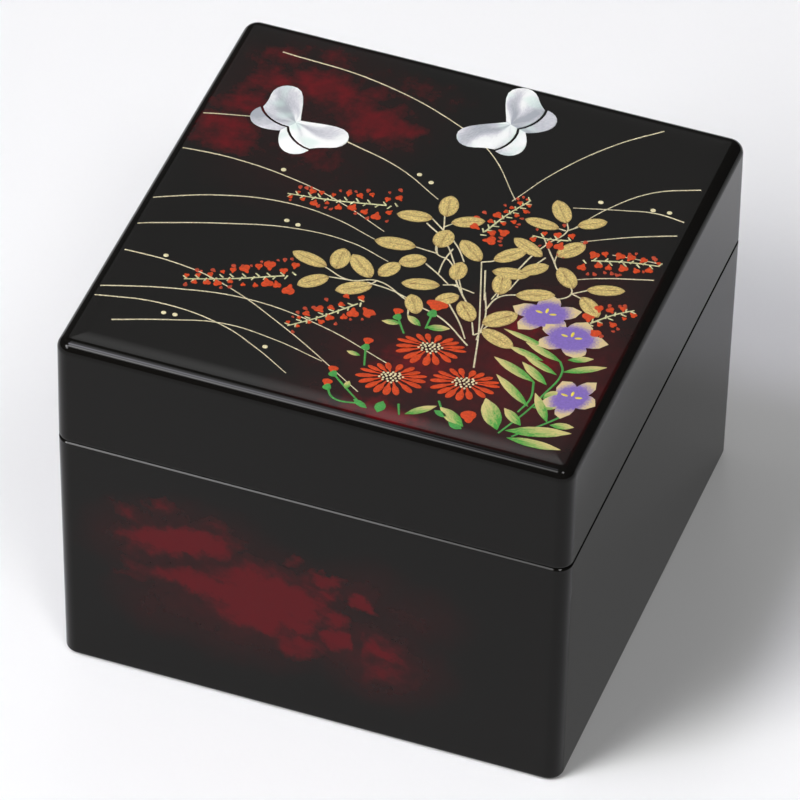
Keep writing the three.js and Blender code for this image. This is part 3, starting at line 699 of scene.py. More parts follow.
# %% Measures of the shells
LID_RIM, LID_TOP, CASE_RIM, CASE_BASE = 76.4, 110, 76.3, 0.5
HALF, INNER_HALF, CORNER = 70, 64, 4.2
EDGE_RADIUS = 3
MARGIN, MARGIN_SLOPE = 7.5, math.tan(math.radians(5))
MARGIN_RINGS = (3.3, 3.8, 4.4, 4.9, 5.5, 6.1, 6.8, 7.5)
HINGE_X, HINGE_Y, HINGE_Z = 38, 70, 76.35
MORTISE_HALF = (14.2, 4.8, 2.4)
LID_CEILING, CASE_FLOOR, HOLLOW_CORNER = 106, 5.1, 1.5
RECESS_HALF, RECESS_CEILING = 61.2, 1.1
BELOW_LID, ABOVE_CASE, BELOW_CASE = 60, 90, -2
OUTER_ROUNDING, RIM_ROUNDING = 1.1, 0.5


def cut_mortises(shell):
    for side in (-1, 1):
        middle = (side * HINGE_X, HINGE_Y, HINGE_Z)
        low = [at - half for at, half in zip(middle, MORTISE_HALF)]
        high = [at + half for at, half in zip(middle, MORTISE_HALF)]
        carve(shell, rounded_block("mortise", low, high, 0.2, 2))


def hollow_out(shell, half, low, high, corner, steps):
    """Carves a square hollow between two heights."""
    carve(shell, rounded_block("hollow", (-half, -half, low), (half, half, high), corner, steps))


def crown_drop(from_edge):
    """How far the lid's top has sunk at a distance from its edge."""
    curved = MARGIN - EDGE_RADIUS
    inside = min(max(MARGIN - from_edge, 0), curved)
    return MARGIN_SLOPE * (inside * inside / (2 * curved) + max(EDGE_RADIUS - from_edge, 0))


def outer_rim(height):
    rim = rim_at(height)
    return lambda e: rim(e) and all(max(abs(v.co.x), abs(v.co.y)) > (HALF - 3) * MM for v in e.verts)


EDGE_HEIGHT = LID_TOP - crown_drop(0)
print("the lid's margin sinks by", round(crown_drop(EDGE_RADIUS), 2), "mm")

# %% Lid
lid = rounded_block("lid_lacquer", (-HALF, -HALF, LID_RIM), (HALF, HALF, EDGE_HEIGHT), CORNER, 12)
edit(lid)
choose(lid, "FACE", lambda f: f.normal.z > 0.9)
reached = 0
for ring in MARGIN_RINGS:
    climb = (crown_drop(reached) - crown_drop(ring)) * MM
    if ring < CORNER:
        bpy.ops.mesh.inset(thickness=(ring - reached) * MM, depth=climb)
    else:
        bpy.ops.mesh.extrude_region_move()
        shrink = (HALF - ring) / (HALF - reached)
        bpy.ops.transform.resize(value=(shrink, shrink, 1), center_override=(0, 0, 0))
        bpy.ops.transform.translate(value=(0, 0, climb))
    reached = ring
done()
round_edges(lid, at_height(EDGE_HEIGHT), EDGE_RADIUS, 10)
hollow_out(lid, INNER_HALF, BELOW_LID, LID_CEILING, HOLLOW_CORNER, 5)
round_edges(lid, outer_rim(LID_RIM), OUTER_ROUNDING, 6)
round_edges(lid, rim_at(LID_RIM), RIM_ROUNDING, 4)
cut_mortises(lid)
smooth(lid)
dress(lid, lacquer, "lid", "lid_shell", slot="black_lacquer")
print("lid", len(lid.data.polygons), "faces")

# %% Case
CASE_LEAN = 0.7
RIM_WIDTH, RIM_SLOPE = 0.45, 38.5
RIM_DROP = RIM_WIDTH * math.tan(math.radians(RIM_SLOPE))
SLOPE_FOOT = CASE_RIM - RIM_DROP
case_low, case_high = (-HALF, -HALF, CASE_BASE), (HALF, HALF, SLOPE_FOOT)
case = rounded_block("case_lacquer", case_low, case_high, CORNER, 12, CASE_LEAN)
edit(case)
choose(case, "FACE", lambda f: f.normal.z > 0.9)
bpy.ops.mesh.inset(thickness=RIM_WIDTH * MM, depth=RIM_DROP * MM)
done()
round_edges(case, at_height(SLOPE_FOOT), 0.1, 2)
round_edges(case, at_height(CASE_BASE), OUTER_ROUNDING, 5)
hollow_out(case, INNER_HALF, CASE_FLOOR, ABOVE_CASE, HOLLOW_CORNER, 5)
hollow_out(case, RECESS_HALF, BELOW_CASE, RECESS_CEILING, 5, 6)
round_edges(case, rim_at(CASE_RIM), RIM_ROUNDING, 4)
cut_mortises(case)
smooth(case)
dress(case, lacquer, "case", "case_shell", slot="black_lacquer")
print("case", len(case.data.polygons), "faces")

# %% [markdown]
# ## Brass hinges, mirror and butterflies
# These have their true shapes in the frame already. A copy of each leaf, screw and wing is merged and its edges
# are broken by a small bevel, because real brass and shell never have knife edges. The screws get a slot. The
# pins and the mirror keep the frame's shapes and only get their materials.


# %% Copies with broken edges
def refined(node, finish, body, slot, width, steps=2, only_at=None):
    """A merged copy of a CAD node, its sharp edges bevelled; only those at a height, if one is given."""
    copy = twin(NODES[node], node + "_fine")
    edit(copy)
    bpy.ops.mesh.select_all(action="SELECT")
    bpy.ops.mesh.remove_doubles(threshold=2e-6)
    bpy.ops.mesh.dissolve_limited(angle_limit=math.radians(1))
    done()
    if only_at is None:
        edge = copy.modifiers.new("edge", "BEVEL")
        edge.width, edge.segments, edge.limit_method = width * MM, steps, "ANGLE"
        edge.angle_limit = math.radians(40)
        press(copy, edge)
    else:
        round_edges(copy, rim_at(only_at), width, steps)
    return dress(copy, finish, body, node, slot=slot)


BUTTERFLY_TOP = 110.2
for name, finish in (("butterfly_left", pearl_left), ("butterfly_right", pearl_right)):
    for pair in ("forewings", "hindwings"):
        smooth(refined(f"{name}_{pair}", finish, "lid", "mother_of_pearl", 0.16, 3, BUTTERFLY_TOP))

SCREW_SLOT = (3.2, 0.42, 0.35)
for hinge in ("hinge_left", "hinge_right"):
    for body in ("case", "lid"):
        smooth(refined(f"{hinge}_{body}_leaf", brass, body, "brass", 0.14))
        for number in (1, 2):
            node = f"{hinge}_{body}_screw_{number}"
            screw = refined(node, brass, body, "brass", 0.08)
            low, high = box_mm(node)
            head = (low + high) / 2
            head.z = high.z if body == "case" else low.z
            half = Vector(SCREW_SLOT) / 2
            carve(screw, rounded_block("slot", head - half, head + half, 0.05, 1))
            smooth(screw)
    coat(NODES[f"{hinge}_pin"], brass)
coat(NODES["mirror_glass"], mirror)

# %% [markdown]
# ## Felt, liners and lid board
# The felt is a sheet laid into the recess of the base. The liners are boards covered with velvet: the cloth
# rounds every edge. The board behind the mirror is covered in the same way. None of them hangs or folds, so a
# block in the space of its CAD node with bevels all round is enough.


# %% Boards covered with velvet
def board(name, node, body, corner, edge, finish=velvet, slot="velvet", trim=0.0):
    """A covered board in the space of a CAD node, all its edges round."""
    low, high = box_mm(node)
    low.y += trim
    made = rounded_block(name, low, high, corner, 6)
    for height in (low.z, high.z):
        round_edges(made, at_height(height), edge, 4)
    smooth(made)
    return dress(made, finish, body, node, slot=slot)


base_felt = board("felt_under_base", "base_felt", "case", 5, 0.25, felt, "felt")
for side in ("left", "right", "front", "back"):
    board(f"velvet_liner_{side}", f"liner_{side}", "case", 0.9, 1.0)
board("velvet_lid_board", "lid_board", "lid", 1.4, 0.5)
print("felt, four liners and the lid board")

# %% [markdown]
# ## Tray
# The tray is a card box covered with velvet, with one long divider and two short ones glued in. It could be
# five boards, but the cloth hides their joints, so one block is carved hollow and its rim rounded.

# %% Tray and dividers
TRAY_INNER_HALF, TRAY_FLOOR = 60, 43.5
tray_low, tray_high = box_mm("tray_shell")
tray = rounded_block("velvet_tray", tray_low, tray_high, 3, 8)
round_edges(tray, at_height(round(tray_low.z, 3)), 0.6, 3)
hollow_out(tray, TRAY_INNER_HALF, TRAY_FLOOR, ABOVE_CASE, 1.9, 6)
round_edges(tray, rim_at(round(tray_high.z, 3)), 0.9, 4)
smooth(tray)
dress(tray, velvet, "tray", "tray_shell", slot="velvet")
board("velvet_divider_long", "divider_long", "tray", 0.3, 1.0)
for number in (1, 2):
    board(f"velvet_divider_short_{number}", f"divider_short_{number}", "tray", 0.3, 1.0, trim=0.6)
print("tray", len(tray.data.polygons), "faces")

# %% [markdown]
# ## Pads and ring bars
# These are foam under velvet, so they are simulated: the block is remeshed to even faces, its underside is
# pinned as if glued to a board, and pressure swells the rest. Each point may move only so far, and none may
# leave the space that the frame keeps for the piece. What repeats is swollen once and copied.

# %% Foam that swells
FRAMES = 20
GLUED_HEIGHT = 0.9


def swell(pad, node, voxel, pressure, most):
    """Swells a pad by cloth simulation, held to the box of its CAD node."""
    even = pad.modifiers.new("even_faces", "REMESH")
    even.mode, even.voxel_size = "VOXEL", voxel * MM
    press(pad, even)
    low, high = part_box(node)
    rest = [v.co.copy() for v in pad.data.vertices]
    glued = pad.vertex_groups.new(name="glued")
    glued.add([v.index for v in pad.data.vertices if v.co.z < low.z + GLUED_HEIGHT * MM], 1, "REPLACE")
    foam = pad.modifiers.new("foam", "CLOTH")
    foam.settings.use_pressure = True
    foam.settings.uniform_pressure_force = pressure
    foam.settings.effector_weights.gravity = 0
    foam.settings.vertex_group_mass = glued.name
    foam.point_cache.frame_end = FRAMES
    for number in range(1, FRAMES + 1):
        scene.frame_set(number)
    press(pad, foam)
    scene.frame_set(1)
    for vertex, was in zip(pad.data.vertices, rest):
        move = vertex.co - was
        if move.length > most * MM:
            vertex.co = was + move.normalized() * most * MM
    pad.vertex_groups.clear()
    for vertex in pad.data.vertices:
        vertex.co = [min(max(c, a), b) for c, a, b in zip(vertex.co, low, high)]
    fine = pad.modifiers.new("fine", "SUBSURF")
    fine.levels = fine.render_levels = 1
    press(pad, fine)
    only(pad)
    bpy.ops.object.shade_smooth()


def pad_blank(name, node, inset, corner, crown):
    """The foam before it swells: a block inside a node's box with a rounded top edge."""
    low, high = box_mm(node)
    low, high = low + Vector((inset, inset, 0)), high - Vector((inset, inset, inset))
    blank = rounded_block(name, low, high, corner, 4)
    round_edges(blank, at_height(high.z), crown, 4)
    return blank


def middle_of(node):
    low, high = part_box(node)
    return (low + high) / 2


print("foam ready")

# %% Pads and bars
floor_pad = pad_blank("velvet_floor_pad", "floor_pad", 0.45, 2, 1.6)
swell(floor_pad, "floor_pad", 1.9, 2.0, 0.7)
dress(floor_pad, velvet, "case", "floor_pad", slot="velvet")

for kind, count, inset, corner, crown, voxel, fill in (
    ("tray_pad", 3, 0.4, 1.6, 1.4, 1.2, 0.7),
    ("ring_bar", 5, 0.35, 1.2, 3.2, 1.1, 0.9),
):
    first = pad_blank(f"velvet_{kind}_1", f"{kind}_1", inset, corner, crown)
    swell(first, f"{kind}_1", voxel, 2.0, 0.55)
    for number in range(1, count + 1):
        node = f"{kind}_{number}"
        apart = middle_of(node) - middle_of(f"{kind}_1")
        one = first
        if number > 1:
            one = twin(first, f"velvet_{node}")
            one.data.transform(Matrix.Translation(apart))
        dress(one, velvet, "tray", node, slot="velvet")
    print(kind, len(first.data.polygons), "faces each")

# %% [markdown]
# ## Ribbon tabs
# Two tabs of ribbed ribbon are stuck to the tray's side walls to lift it by. Their upper ends are cut round.
# A plane would show no edge, so each is a thin block: a wide bevel makes the cut, a small one softens the rest.

# %% Tabs
TAB_ROUNDING = 6.9


def end_corner(edge, top):
    """An edge through the ribbon's thickness at its upper end."""
    high_up = all(v.co.z > (top - 0.01) * MM for v in edge.verts)
    through = abs(edge.verts[0].co.y - edge.verts[1].co.y) < 1e-6
    return high_up and through and edge.calc_length() > 0.5 * MM


for side in ("left", "right"):
    node = f"tray_tab_{side}"
    low, high = box_mm(node)
    tab = rounded_block(f"ribbon_tab_{side}", low, high, 0.1, 1)
    edit(tab)
    choose(tab, "EDGE", lambda e: end_corner(e, high.z))
    bpy.ops.mesh.bevel(offset=TAB_ROUNDING * MM, segments=12)
    done()
    edge = tab.modifiers.new("edge", "BEVEL")
    edge.width, edge.segments, edge.limit_method = 0.3 * MM, 3, "ANGLE"
    press(tab, edge)
    smooth(tab)
    dress(tab, ribbon, "tray", node, slot="ribbon")
print("two tabs")

# %% [markdown]
# ## Grasses, leaves and flowers on the lid
# The decoration is laid on the lacquer a little raised. Lines are curves with a round section that is then
# flattened. Leaves and petals are stamped: one is shaped from a disc, and copies of it are turned, sized and
# joined. Sizes and places are millimetres on the lid, with +Y towards the hinges and angles from +X.

# %% Lines
LINE_FLATTEN = 0.3


def draw_lines(name, lines, width, finish, taper=0.45):
    """Raised lines through points on the lid, thinner at their last point."""
    strokes = []
    for points in lines:
        pick_nothing()
        bpy.ops.curve.primitive_bezier_curve_add(location=(0, 0, 0))
        stroke = bpy.context.object
        spline = stroke.data.splines[0]
        spline.bezier_points.add(len(points) - 2)
        for index, (knot, (x_at, y_at)) in enumerate(zip(spline.bezier_points, points)):
            knot.co = (x_at * MM, y_at * MM, 0)
            knot.handle_left_type = knot.handle_right_type = "AUTO"
            knot.radius = 1 - (1 - taper) * index / (len(points) - 1)
        stroke.data.bevel_depth = width / 2 * MM
        stroke.data.bevel_resolution, stroke.data.resolution_u = 1, 7
        stroke.data.use_fill_caps = True
        bpy.ops.object.convert(target="MESH")
        stroke.data.transform(Matrix.Diagonal((1, 1, LINE_FLATTEN, 1)))
        stroke.data.transform(Matrix.Translation((0, 0, LID_TOP * MM)))
        strokes.append(stroke)
    return gathered(name, strokes, finish)


def gathered(name, members, finish):
    """Joins members into one piece that follows the lid's sunken margin and rides on the lid."""
    pick_nothing()
    for member in members:
        member.select_set(True)
    bpy.context.view_layer.objects.active = members[0]
    bpy.ops.object.join()
    piece = bpy.context.object
    piece.name = piece.data.name = name
    for vertex in piece.data.vertices:
        from_edge = HALF - max(abs(vertex.co.x), abs(vertex.co.y)) / MM
        vertex.co.z -= crown_drop(from_edge) * MM
    only(piece)
    bpy.ops.object.shade_smooth_by_angle(angle=math.radians(40))
    return dress(piece, finish, "lid")


print("lines ready")

# %% Stamps
SINK = 0.03
LAYERS, LAYER = 5, 0.009


def disc(corners):
    """A flat disc of diameter 1 about the origin, left in edit mode to be shaped."""
    pick_nothing()
    bpy.ops.mesh.primitive_circle_add(vertices=corners, radius=0.5, fill_type="NGON")
    bpy.ops.object.mode_set(mode="EDIT")
    return bpy.context.object


def squeeze(shape, test, value, about=(0, 0, 0)):
    choose(shape, "VERT", test)
    bpy.ops.transform.resize(value=value, center_override=about)


def raise_up(shape, height, rounding=0.07):
    """Thickens a disc upwards, rounds its upper edge and notes where each point lies along and across it."""
    bpy.ops.mesh.select_all(action="SELECT")
    bpy.ops.transform.translate(value=(0, 0, -SINK * MM))
    bpy.ops.mesh.extrude_region_move(TRANSFORM_OT_translate={"value": (0, 0, (SINK + height * 0.6) * MM)})
    bpy.ops.mesh.inset(thickness=rounding, depth=0)
    bpy.ops.transform.translate(value=(0, 0, height * 0.4 * MM))
    done()
    for name, reading in (("tip", lambda at: at.x + 0.5), ("side", lambda at: at.y * 2)):
        numbers = shape.data.attributes.new(name, "FLOAT", "POINT")
        for vertex, number in zip(shape.data.vertices, numbers.data):
            number.value = reading(vertex.co)
    return shape


def stamp(name, shape, places, finish):
    """Copies of a shape at places on the lid: x, y, heading, length and width. Neighbours differ in height."""
    copies = []
    for index, (x_at, y_at, heading, length, width) in enumerate(places):
        copy = twin(shape, name)
        size = Matrix.Diagonal((length * MM, width * MM, 1, 1))
        turned = Matrix.Rotation(math.radians(heading), 4, "Z")
        at = Vector((x_at, y_at, LID_TOP + index % LAYERS * LAYER)) * MM
        copy.data.transform(Matrix.Translation(at) @ turned @ size)
        copies.append(copy)
    bpy.data.objects.remove(shape, do_unlink=True)
    return gathered(name, copies, finish)


print("stamps ready")


# %% Leaf and petal
def leaf_shape(height, point=0.03):
    shape = disc(20)
    squeeze(shape, lambda v: abs(v.co.y) < 1e-4, (1 + 2 * point, 1, 1))
    return raise_up(shape, height)


def petal_shape(height, foot=0.4, notch=0.0):
    """A petal that is narrow at its foot and blunt, or notched like a heart, at its end."""
    shape = disc(16)
    squeeze(shape, lambda v: v.co.x < -0.15, (1, foot, 1))
    squeeze(shape, lambda v: abs(v.co.x) < 0.15, (1, 0.85, 1))
    squeeze(shape, lambda v: 0.3 < v.co.x < 0.49, (1, 1.15, 1))
    choose(shape, "VERT", lambda v: v.co.x > 0.49)
    bpy.ops.transform.translate(value=(-notch, 0, 0))
    return raise_up(shape, height, 0.05)


print("leaf and petal ready")

# %% [markdown]
# ## Gold grass and leaves
# Long blades of grass bow in from both sides, with dew drops beside them, and a branch of broad gold leaves
# rises in the middle. A material could paint them, but strewn gold stands proud and catches the light, so each
# line and leaf is a shape of its own at its place on the lid.

# %% Grass and twigs
BLADES = [
    [(-55.9, 58.4), (-28.4, 55.9), (-1.6, 46.6), (9.1, 39.7), (21.6, 24.1)],
    [(-66.6, 27.8), (-54.1, 30.9)],
    [(-27.2, 30.3), (-10.9, 25.3), (2.8, 17.2)],
    [(-66.6, 12.8), (-52.2, 13.4), (-33.4, 10.9), (-20.9, 7.2), (-5.9, 0.3)],
    [(-66.6, -8.4), (-50.9, -1.6), (-34.7, 1.8), (-19.7, 0.6), (-7.2, -3.4)],
    [(-66.6, -19.3), (-45.9, -11.6), (-27.8, -6.8), (-12.2, -6.8), (-0.9, -10.3)],
    [(-65.9, -30.1), (-52.2, -30.3), (-39.7, -32.8), (-17.2, -43.4), (9.1, -59.7)],
    [(-66.6, -45.3), (-48.4, -39.7), (-29.7, -36.8), (-8.4, -39.7), (12.8, -47.2)],
    [(-66.6, -49.1), (-49.7, -46.2), (-32.2, -48.4), (-20.9, -53.4), (-10.3, -59.7)],
    [(-59.1, -56.6), (-45.9, -51.6), (-32.2, -47.8), (-18.4, -48.7), (-3.4, -52.2)],
    [(48.8, 64.1), (39.1, 54.7), (27.8, 38.4), (20.9, 23.4)],
    [(65.3, 45.3), (54.1, 39.7), (45.3, 29.7), (39.1, 18.4)],
    [(65.3, 31.6), (57.2, 32.2), (49.1, 30.3), (36.6, 26.6)],
    [(65.3, 25.9), (54.1, 20.9), (42.8, 14.7)],
    [(65.3, 14.1), (52.2, 12.8)],
    [(65.3, 7.4), (51.6, 2.8), (45.3, -0.3)],
]
TWIGS = [
    [(33.4, -40.7), (30.1, -27.8), (26.9, -17.8), (21.6, -1.9)],
    [(26.9, -22.2), (18.8, -12.4), (13.7, -4.4), (9.7, -2.8), (8.2, 6.3), (6.6, 11.8)],
    [(8.2, 6.3), (3.8, 9.7)],
    [(7.8, 7.4), (9.7, 9.7)],
    [(9.7, -2.8), (3.7, -2.4)],
    [(29.1, -33.4), (19.1, -25.9), (9.1, -22.8), (-0.9, -18.3), (-7.8, -20.6), (-15.3, -18.1)],
    [(-7.8, -20.6), (-13.2, -21.3)],
    [(-1.2, -18.6), (-2.4, -20.9)],
    [
        (28.7, -19.1), (30.3, -13.1), (34.4, -10.6), (44.1, -8.7), (47.2, -5.3), (44.1, -0.9), (39.4, 4.3),
        (38.8, 7.8),
    ],
    [(47.2, -5.3), (50.9, -2.3)],
    [(47.2, -5.1), (50.6, -6.2)],
    [(39.4, 4.3), (33.4, 12.8)],
    [(31.6, -0.3), (32.8, 4.7), (35.1, 10.9), (38.2, 17.6), (37.2, 20.3)],
    [(38.2, 17.6), (40.3, 19.9)],
    [(37.8, 17.4), (35.7, 17.6)],
    [(21.6, -1.9), (24.4, -0.3), (25.9, 1.4)],
    [(29.9, -13.1), (29.7, -10.9)],
    [(18.8, -12.4), (15.3, -13.8)],
    [(18.8, -12.4), (17.6, -10.3)],
    [(30.1, -27.8), (31.8, -23.1)],
    [(29.1, -29.1), (27.2, -24.7)],
    [(29.1, -29.1), (31.3, -26.6)],
    [(10.9, -27.8), (10.1, -25.3)],
]
THIN_TWIGS = [
    [(11.9, 3.5), (14.6, 0.6), (17.4, -3.5)],
    [(13, 0.3), (12.4, -5), (12.8, -10.6)],
    [(8.4, -7.6), (12.6, -10.2), (16.8, -13.3)],
    [(23.6, -4.6), (27.2, -15.5)],
    [(17.4, -12.8), (23.9, -13.9)],
    [(8.7, -0.3), (10, -3.3)],
    [(19.4, -20.2), (24.6, -26.5), (27.6, -31.2)],
    [(26.4, -12.6), (29.6, -21.4), (30.4, -30.6)],
    [(3.2, 7.4), (9.8, 2.6), (15.4, -5.2), (21.8, -16.4)],
    [(-3.2, -19.8), (3.6, -20.4), (8.4, -21.8)],
    [(31.6, -0.3), (30.2, -6.6), (28.8, -14.6)],
    [(36.4, 5.6), (33.6, -1.2), (31.8, -9.6)],
]
draw_lines("gold_grass", BLADES, 0.44, gold_line, 0.6)
draw_lines("gold_twigs", TWIGS + THIN_TWIGS, 0.46, gold_line, 0.8)
print(len(BLADES), "blades,", len(TWIGS + THIN_TWIGS), "twigs")

# %% Gold leaves and dew
GOLD_LEAVES = [
    (6.3, 15.6, 100, 8, 5.2), (13.1, 11.6, 25, 8.4, 4.2), (-0.6, 8.8, 190, 9, 4.4), (9.4, 3.1, 87, 7, 5.4),
    (-1.6, -3.1, 187, 10.4, 4.8), (17.6, 1.3, 140, 9, 4.8), (4.9, -7.8, 215, 7.1, 5),
    (0.4, -13.1, 63, 6.9, 4.6), (9.9, -15.6, 195, 9.4, 4.4), (17.2, -7.4, 95, 6.9, 4.6),
    (-20.1, -16.6, 167, 10, 4.2), (-12.8, -13.7, 95, 7.9, 5.2), (-6.6, -14.4, 138, 9.6, 5),
    (-16.3, -24.3, 222, 8.3, 4.6), (-5.6, -23.1, 212, 9.2, 4.8), (10.9, -23.4, 121, 7.3, 4.6),
    (18.1, -18.4, 40, 6.3, 4.2), (34.4, 24.1, 125, 8.8, 4.8), (43.4, 22.4, 33, 7.5, 4),
    (31.2, 17.8, 178, 9, 3.8), (41.6, 10.7, 53, 8.5, 5), (27.6, 3.2, 46, 9, 4.6),
    (30.9, 7.8, 155, 9.6, 4.2), (44.1, 0.1, 133, 8.3, 4.8), (35.3, 0.3, 42, 7.5, 4.2),
    (30.1, -3.4, 10, 9.2, 4.4), (29.3, -8.1, 102, 7.9, 5), (55.1, -0.9, 18, 9.4, 4),
    (53.4, -8.4, -42, 8.3, 4.4), (38.8, -9.1, 21, 9.6, 4.6), (33.4, -20.9, 43, 9.4, 5.6),
    (24.4, -21.2, 129, 7.9, 4.8), (35.3, -28.2, -22, 10, 4.6),
]
DEW_DROPS = [
    (-5.1, 24.7), (-1.2, 22.8), (-38.8, 13.8), (-30.9, -4.7), (-27.6, -5.3), (-55.1, -28.6), (-47.6, -49.4),
    (-44.6, -49.1), (-18.8, -52.3), (42.6, 31.2), (56.3, 33.1), (60.6, 33.7),
]
stamp("gold_leaves", leaf_shape(0.08), GOLD_LEAVES, gold)
stamp("dew_drops", leaf_shape(0.07, 0), [(x_at, y_at, 0, 1.4, 1.3) for x_at, y_at in DEW_DROPS], cream)
print(len(GOLD_LEAVES), "leaves,", len(DEW_DROPS), "drops")

# %% [markdown]
# ## Bush clover
# Sprays of red petals sit on short spurs on both sides of a pale stem, large at its foot and small at its tip,
# with rust-red buds about them. Their places come from a seeded draw, so each run makes the same sprays.

# %% Sprays
SPRAYS = [
    ((-5.4, 10.8), (-34.5, 5.4), 18, 18), ((-20.6, -23.6), (-47.5, -35.4), 19, 14),
    ((-0.6, -26.4), (-16.4, -42.8), 15, 11), ((17.4, 7.4), (25.4, 25.4), 16, 12),
    ((41, 14.2), (30.4, 12.6), 6, 7), ((45.4, 8.2), (65, 13), 12, 12), ((54.2, -15.4), (64.4, -5.4), 9, 7),
]
FOOT_PETAL, TIP_PETAL_LOSS = 4.1, 2.2
draw = random.Random(7)
petals, buds_on_sprays, spurs = [], [], []


def grow_spray(foot, tip, count, bud_count):
    """Petals, buds and short spurs on both sides of a stem, from its foot to its tip."""
    foot, tip = Vector(foot), Vector(tip)
    stem = tip - foot
    ahead = stem.normalized()
    aside = Vector((-ahead.y, ahead.x))
    heading = math.degrees(math.atan2(stem.y, stem.x))
    spurs.append([foot + stem * 0.12, foot + stem * 0.6 + aside * 0.5, tip])
    for index in range(count):
        share = (index + draw.uniform(0.2, 0.8)) / count
        side = 1 if index % 2 else -1
        size = (FOOT_PETAL - TIP_PETAL_LOSS * share) * draw.uniform(0.5, 1.1)
        reach = 0.4 + size * 0.45 + 3.6 * (1 - share) * draw.uniform(0, 1) ** 1.5
        at = foot + stem * share + aside * side * reach
        petals.append((*at, heading + side * draw.uniform(50, 110), size, size * draw.uniform(0.8, 1.05)))
        root = foot + stem * share
        spurs.append([root, root + ahead * 0.9 + aside * side * 1.3])
    for index in range(bud_count):
        share = (index + draw.uniform(0.1, 0.9)) / bud_count
        side = draw.choice((-1, 1))
        at = foot + stem * share + aside * side * (2.2 + 3.4 * (1 - share)) * draw.uniform(0.9, 1.25)
        size = draw.uniform(0.9, 1.7)
        buds_on_sprays.append((*at, heading + side * draw.uniform(40, 100), size, size * 0.8))


for spray in SPRAYS:
    grow_spray(*spray)
draw_lines("clover_stems", spurs, 0.52, pale_stem, 0.7)
stamp("clover_petals", petal_shape(0.075, 0.4, 0.1), petals, vermilion)
stamp("clover_buds", petal_shape(0.065, 0.6), buds_on_sprays, rust)
print(len(petals), "clover petals")

# %% [markdown]
# ## Chrysanthemums and buds
# The chrysanthemums are seen a little from the side, so their petals reach further below the heart than above
# it. One rule gives each petal its root, its tip and its width, and the heart is a ring of cream dots.

# %% Chrysanthemums
MUMS = [(20.6, -37.2), (15.1, -51.2), (33.2, -46.6)]
PETALS, HEART_DOTS = 17, 26
SIDE_REACH, UPPER_REACH, LOWER_REACH = 8.9, 5.0, 7.4
MUM_TILT, HEART_SHARE, HEART_DOT = 0.14, 0.35, 0.62
GOLDEN_TURN = 2.4


def mum_point(heart, angle, share):
    """A point of a flower, from its heart at 0 to its rim at 1."""
    deep = UPPER_REACH if math.sin(angle) > 0 else LOWER_REACH
    across = SIDE_REACH * math.cos(angle)
    tilt = MUM_TILT * SIDE_REACH * math.cos(angle)
    return Vector((heart[0] + share * across, heart[1] + share * (deep * math.sin(angle) + tilt)))


mum_petals, mum_hearts = [], []
for heart in MUMS:
    for index in range(PETALS):
        angle = 2 * math.pi * (index + draw.uniform(-0.12, 0.12)) / PETALS
        root, tip = mum_point(heart, angle, 0.28), mum_point(heart, angle, draw.uniform(0.93, 1.04))
        span, at = tip - root, (root + tip) / 2
        width = 2.25 - 0.75 * abs(math.cos(angle)) - (0.35 if math.sin(angle) > 0 else 0)
        mum_petals.append((at.x, at.y, math.degrees(math.atan2(span.y, span.x)), span.length, width))
    for index in range(HEART_DOTS):
        at = mum_point(heart, GOLDEN_TURN * index, HEART_SHARE * math.sqrt((index + 0.5) / HEART_DOTS))
        mum_hearts.append((at.x, at.y, 0, HEART_DOT, HEART_DOT))
stamp("chrysanthemum_petals", petal_shape(0.085), mum_petals, vermilion)
stamp("chrysanthemum_hearts", leaf_shape(0.11, 0), mum_hearts, cream)
print(len(mum_petals), "petals,", len(mum_hearts), "dots")

# %% Buds
BUDS = [
    ((8.1, -27.6), (8.7, -29.4)), ((4.9, -40.9), (5.1, -43.1)), ((0.3, -54.1), (0.9, -55.5)),
    ((0.6, -59.2), (1.2, -60.7)),
]
OPENING_BUDS = [(16.6, -21.9, 90, 3.8, 6.4), (38.4, -58.6, 110, 4.6, 4.4)]
buds = [(*red, 95, 2.6, 2.9) for red, _ in BUDS] + OPENING_BUDS
cups = [(*cup, 270, 2.4, 2.5) for _, cup in BUDS] + [(16.6, -25.0, 270, 3.0, 2.8)]
stamp("flower_buds", petal_shape(0.085, 0.55), buds, vermilion)
stamp("bud_cups", petal_shape(0.095, 0.7), cups, stem_paint)
print(len(buds), "buds")

# %% [markdown]
# ## Bellflowers and green leaves
# A bellflower has five broad lobes. A disc of forty corners gets its five tips drawn out and its five notches
# drawn in, and each point keeps its distance from the middle for the gold at the lobes' ends. The narrow leaves
# are green at the root and pale gold at the tip, and the young ones green all over.

# %% Bellflowers
BELLS = [(43.7, -15.3, 28, 17, 13.5), (52.8, -21.6, 8, 17.5, 13.5), (60.2, -42.8, 62, 16, 11.5)]
LOBE = 72
LOBE_SIZES = [(31, 36.1, 1.12), (-1, 4, 0.62), (4, 13, 0.78), (13, 22, 0.93)]


def bell_shape(height):
    shape = disc(40)

    def from_notch(vertex):
        return abs(math.degrees(math.atan2(vertex.co.y, vertex.co.x)) % LOBE - LOBE / 2)

    for near, far, size in LOBE_SIZES:
        squeeze(shape, lambda v: near < from_notch(v) < far, (size, size, 1))
    raise_up(shape, height, 0.04)
    edit(shape)
    bpy.ops.mesh.select_all(action="SELECT")
    bpy.ops.mesh.poke()
    done()
    for vertex, tip in zip(shape.data.vertices, shape.data.attributes["tip"].data):
        tip.value = 2 * vertex.co.xy.length
    return shape


stamp("bellflowers", bell_shape(0.09), BELLS, bellflower_paint)
stamens = [
    (x_at + 1.9 * math.cos(turn_at), y_at + 1.2 * math.sin(turn_at) + 0.4, math.degrees(turn_at), 2.0, 0.8)
    for x_at, y_at, _, _, _ in BELLS
    for turn_at in (0.3, 1.6, 3.0)
]
stamp("bellflower_hearts", leaf_shape(0.12, 0), stamens, yellow)
print(len(BELLS), "bellflowers")

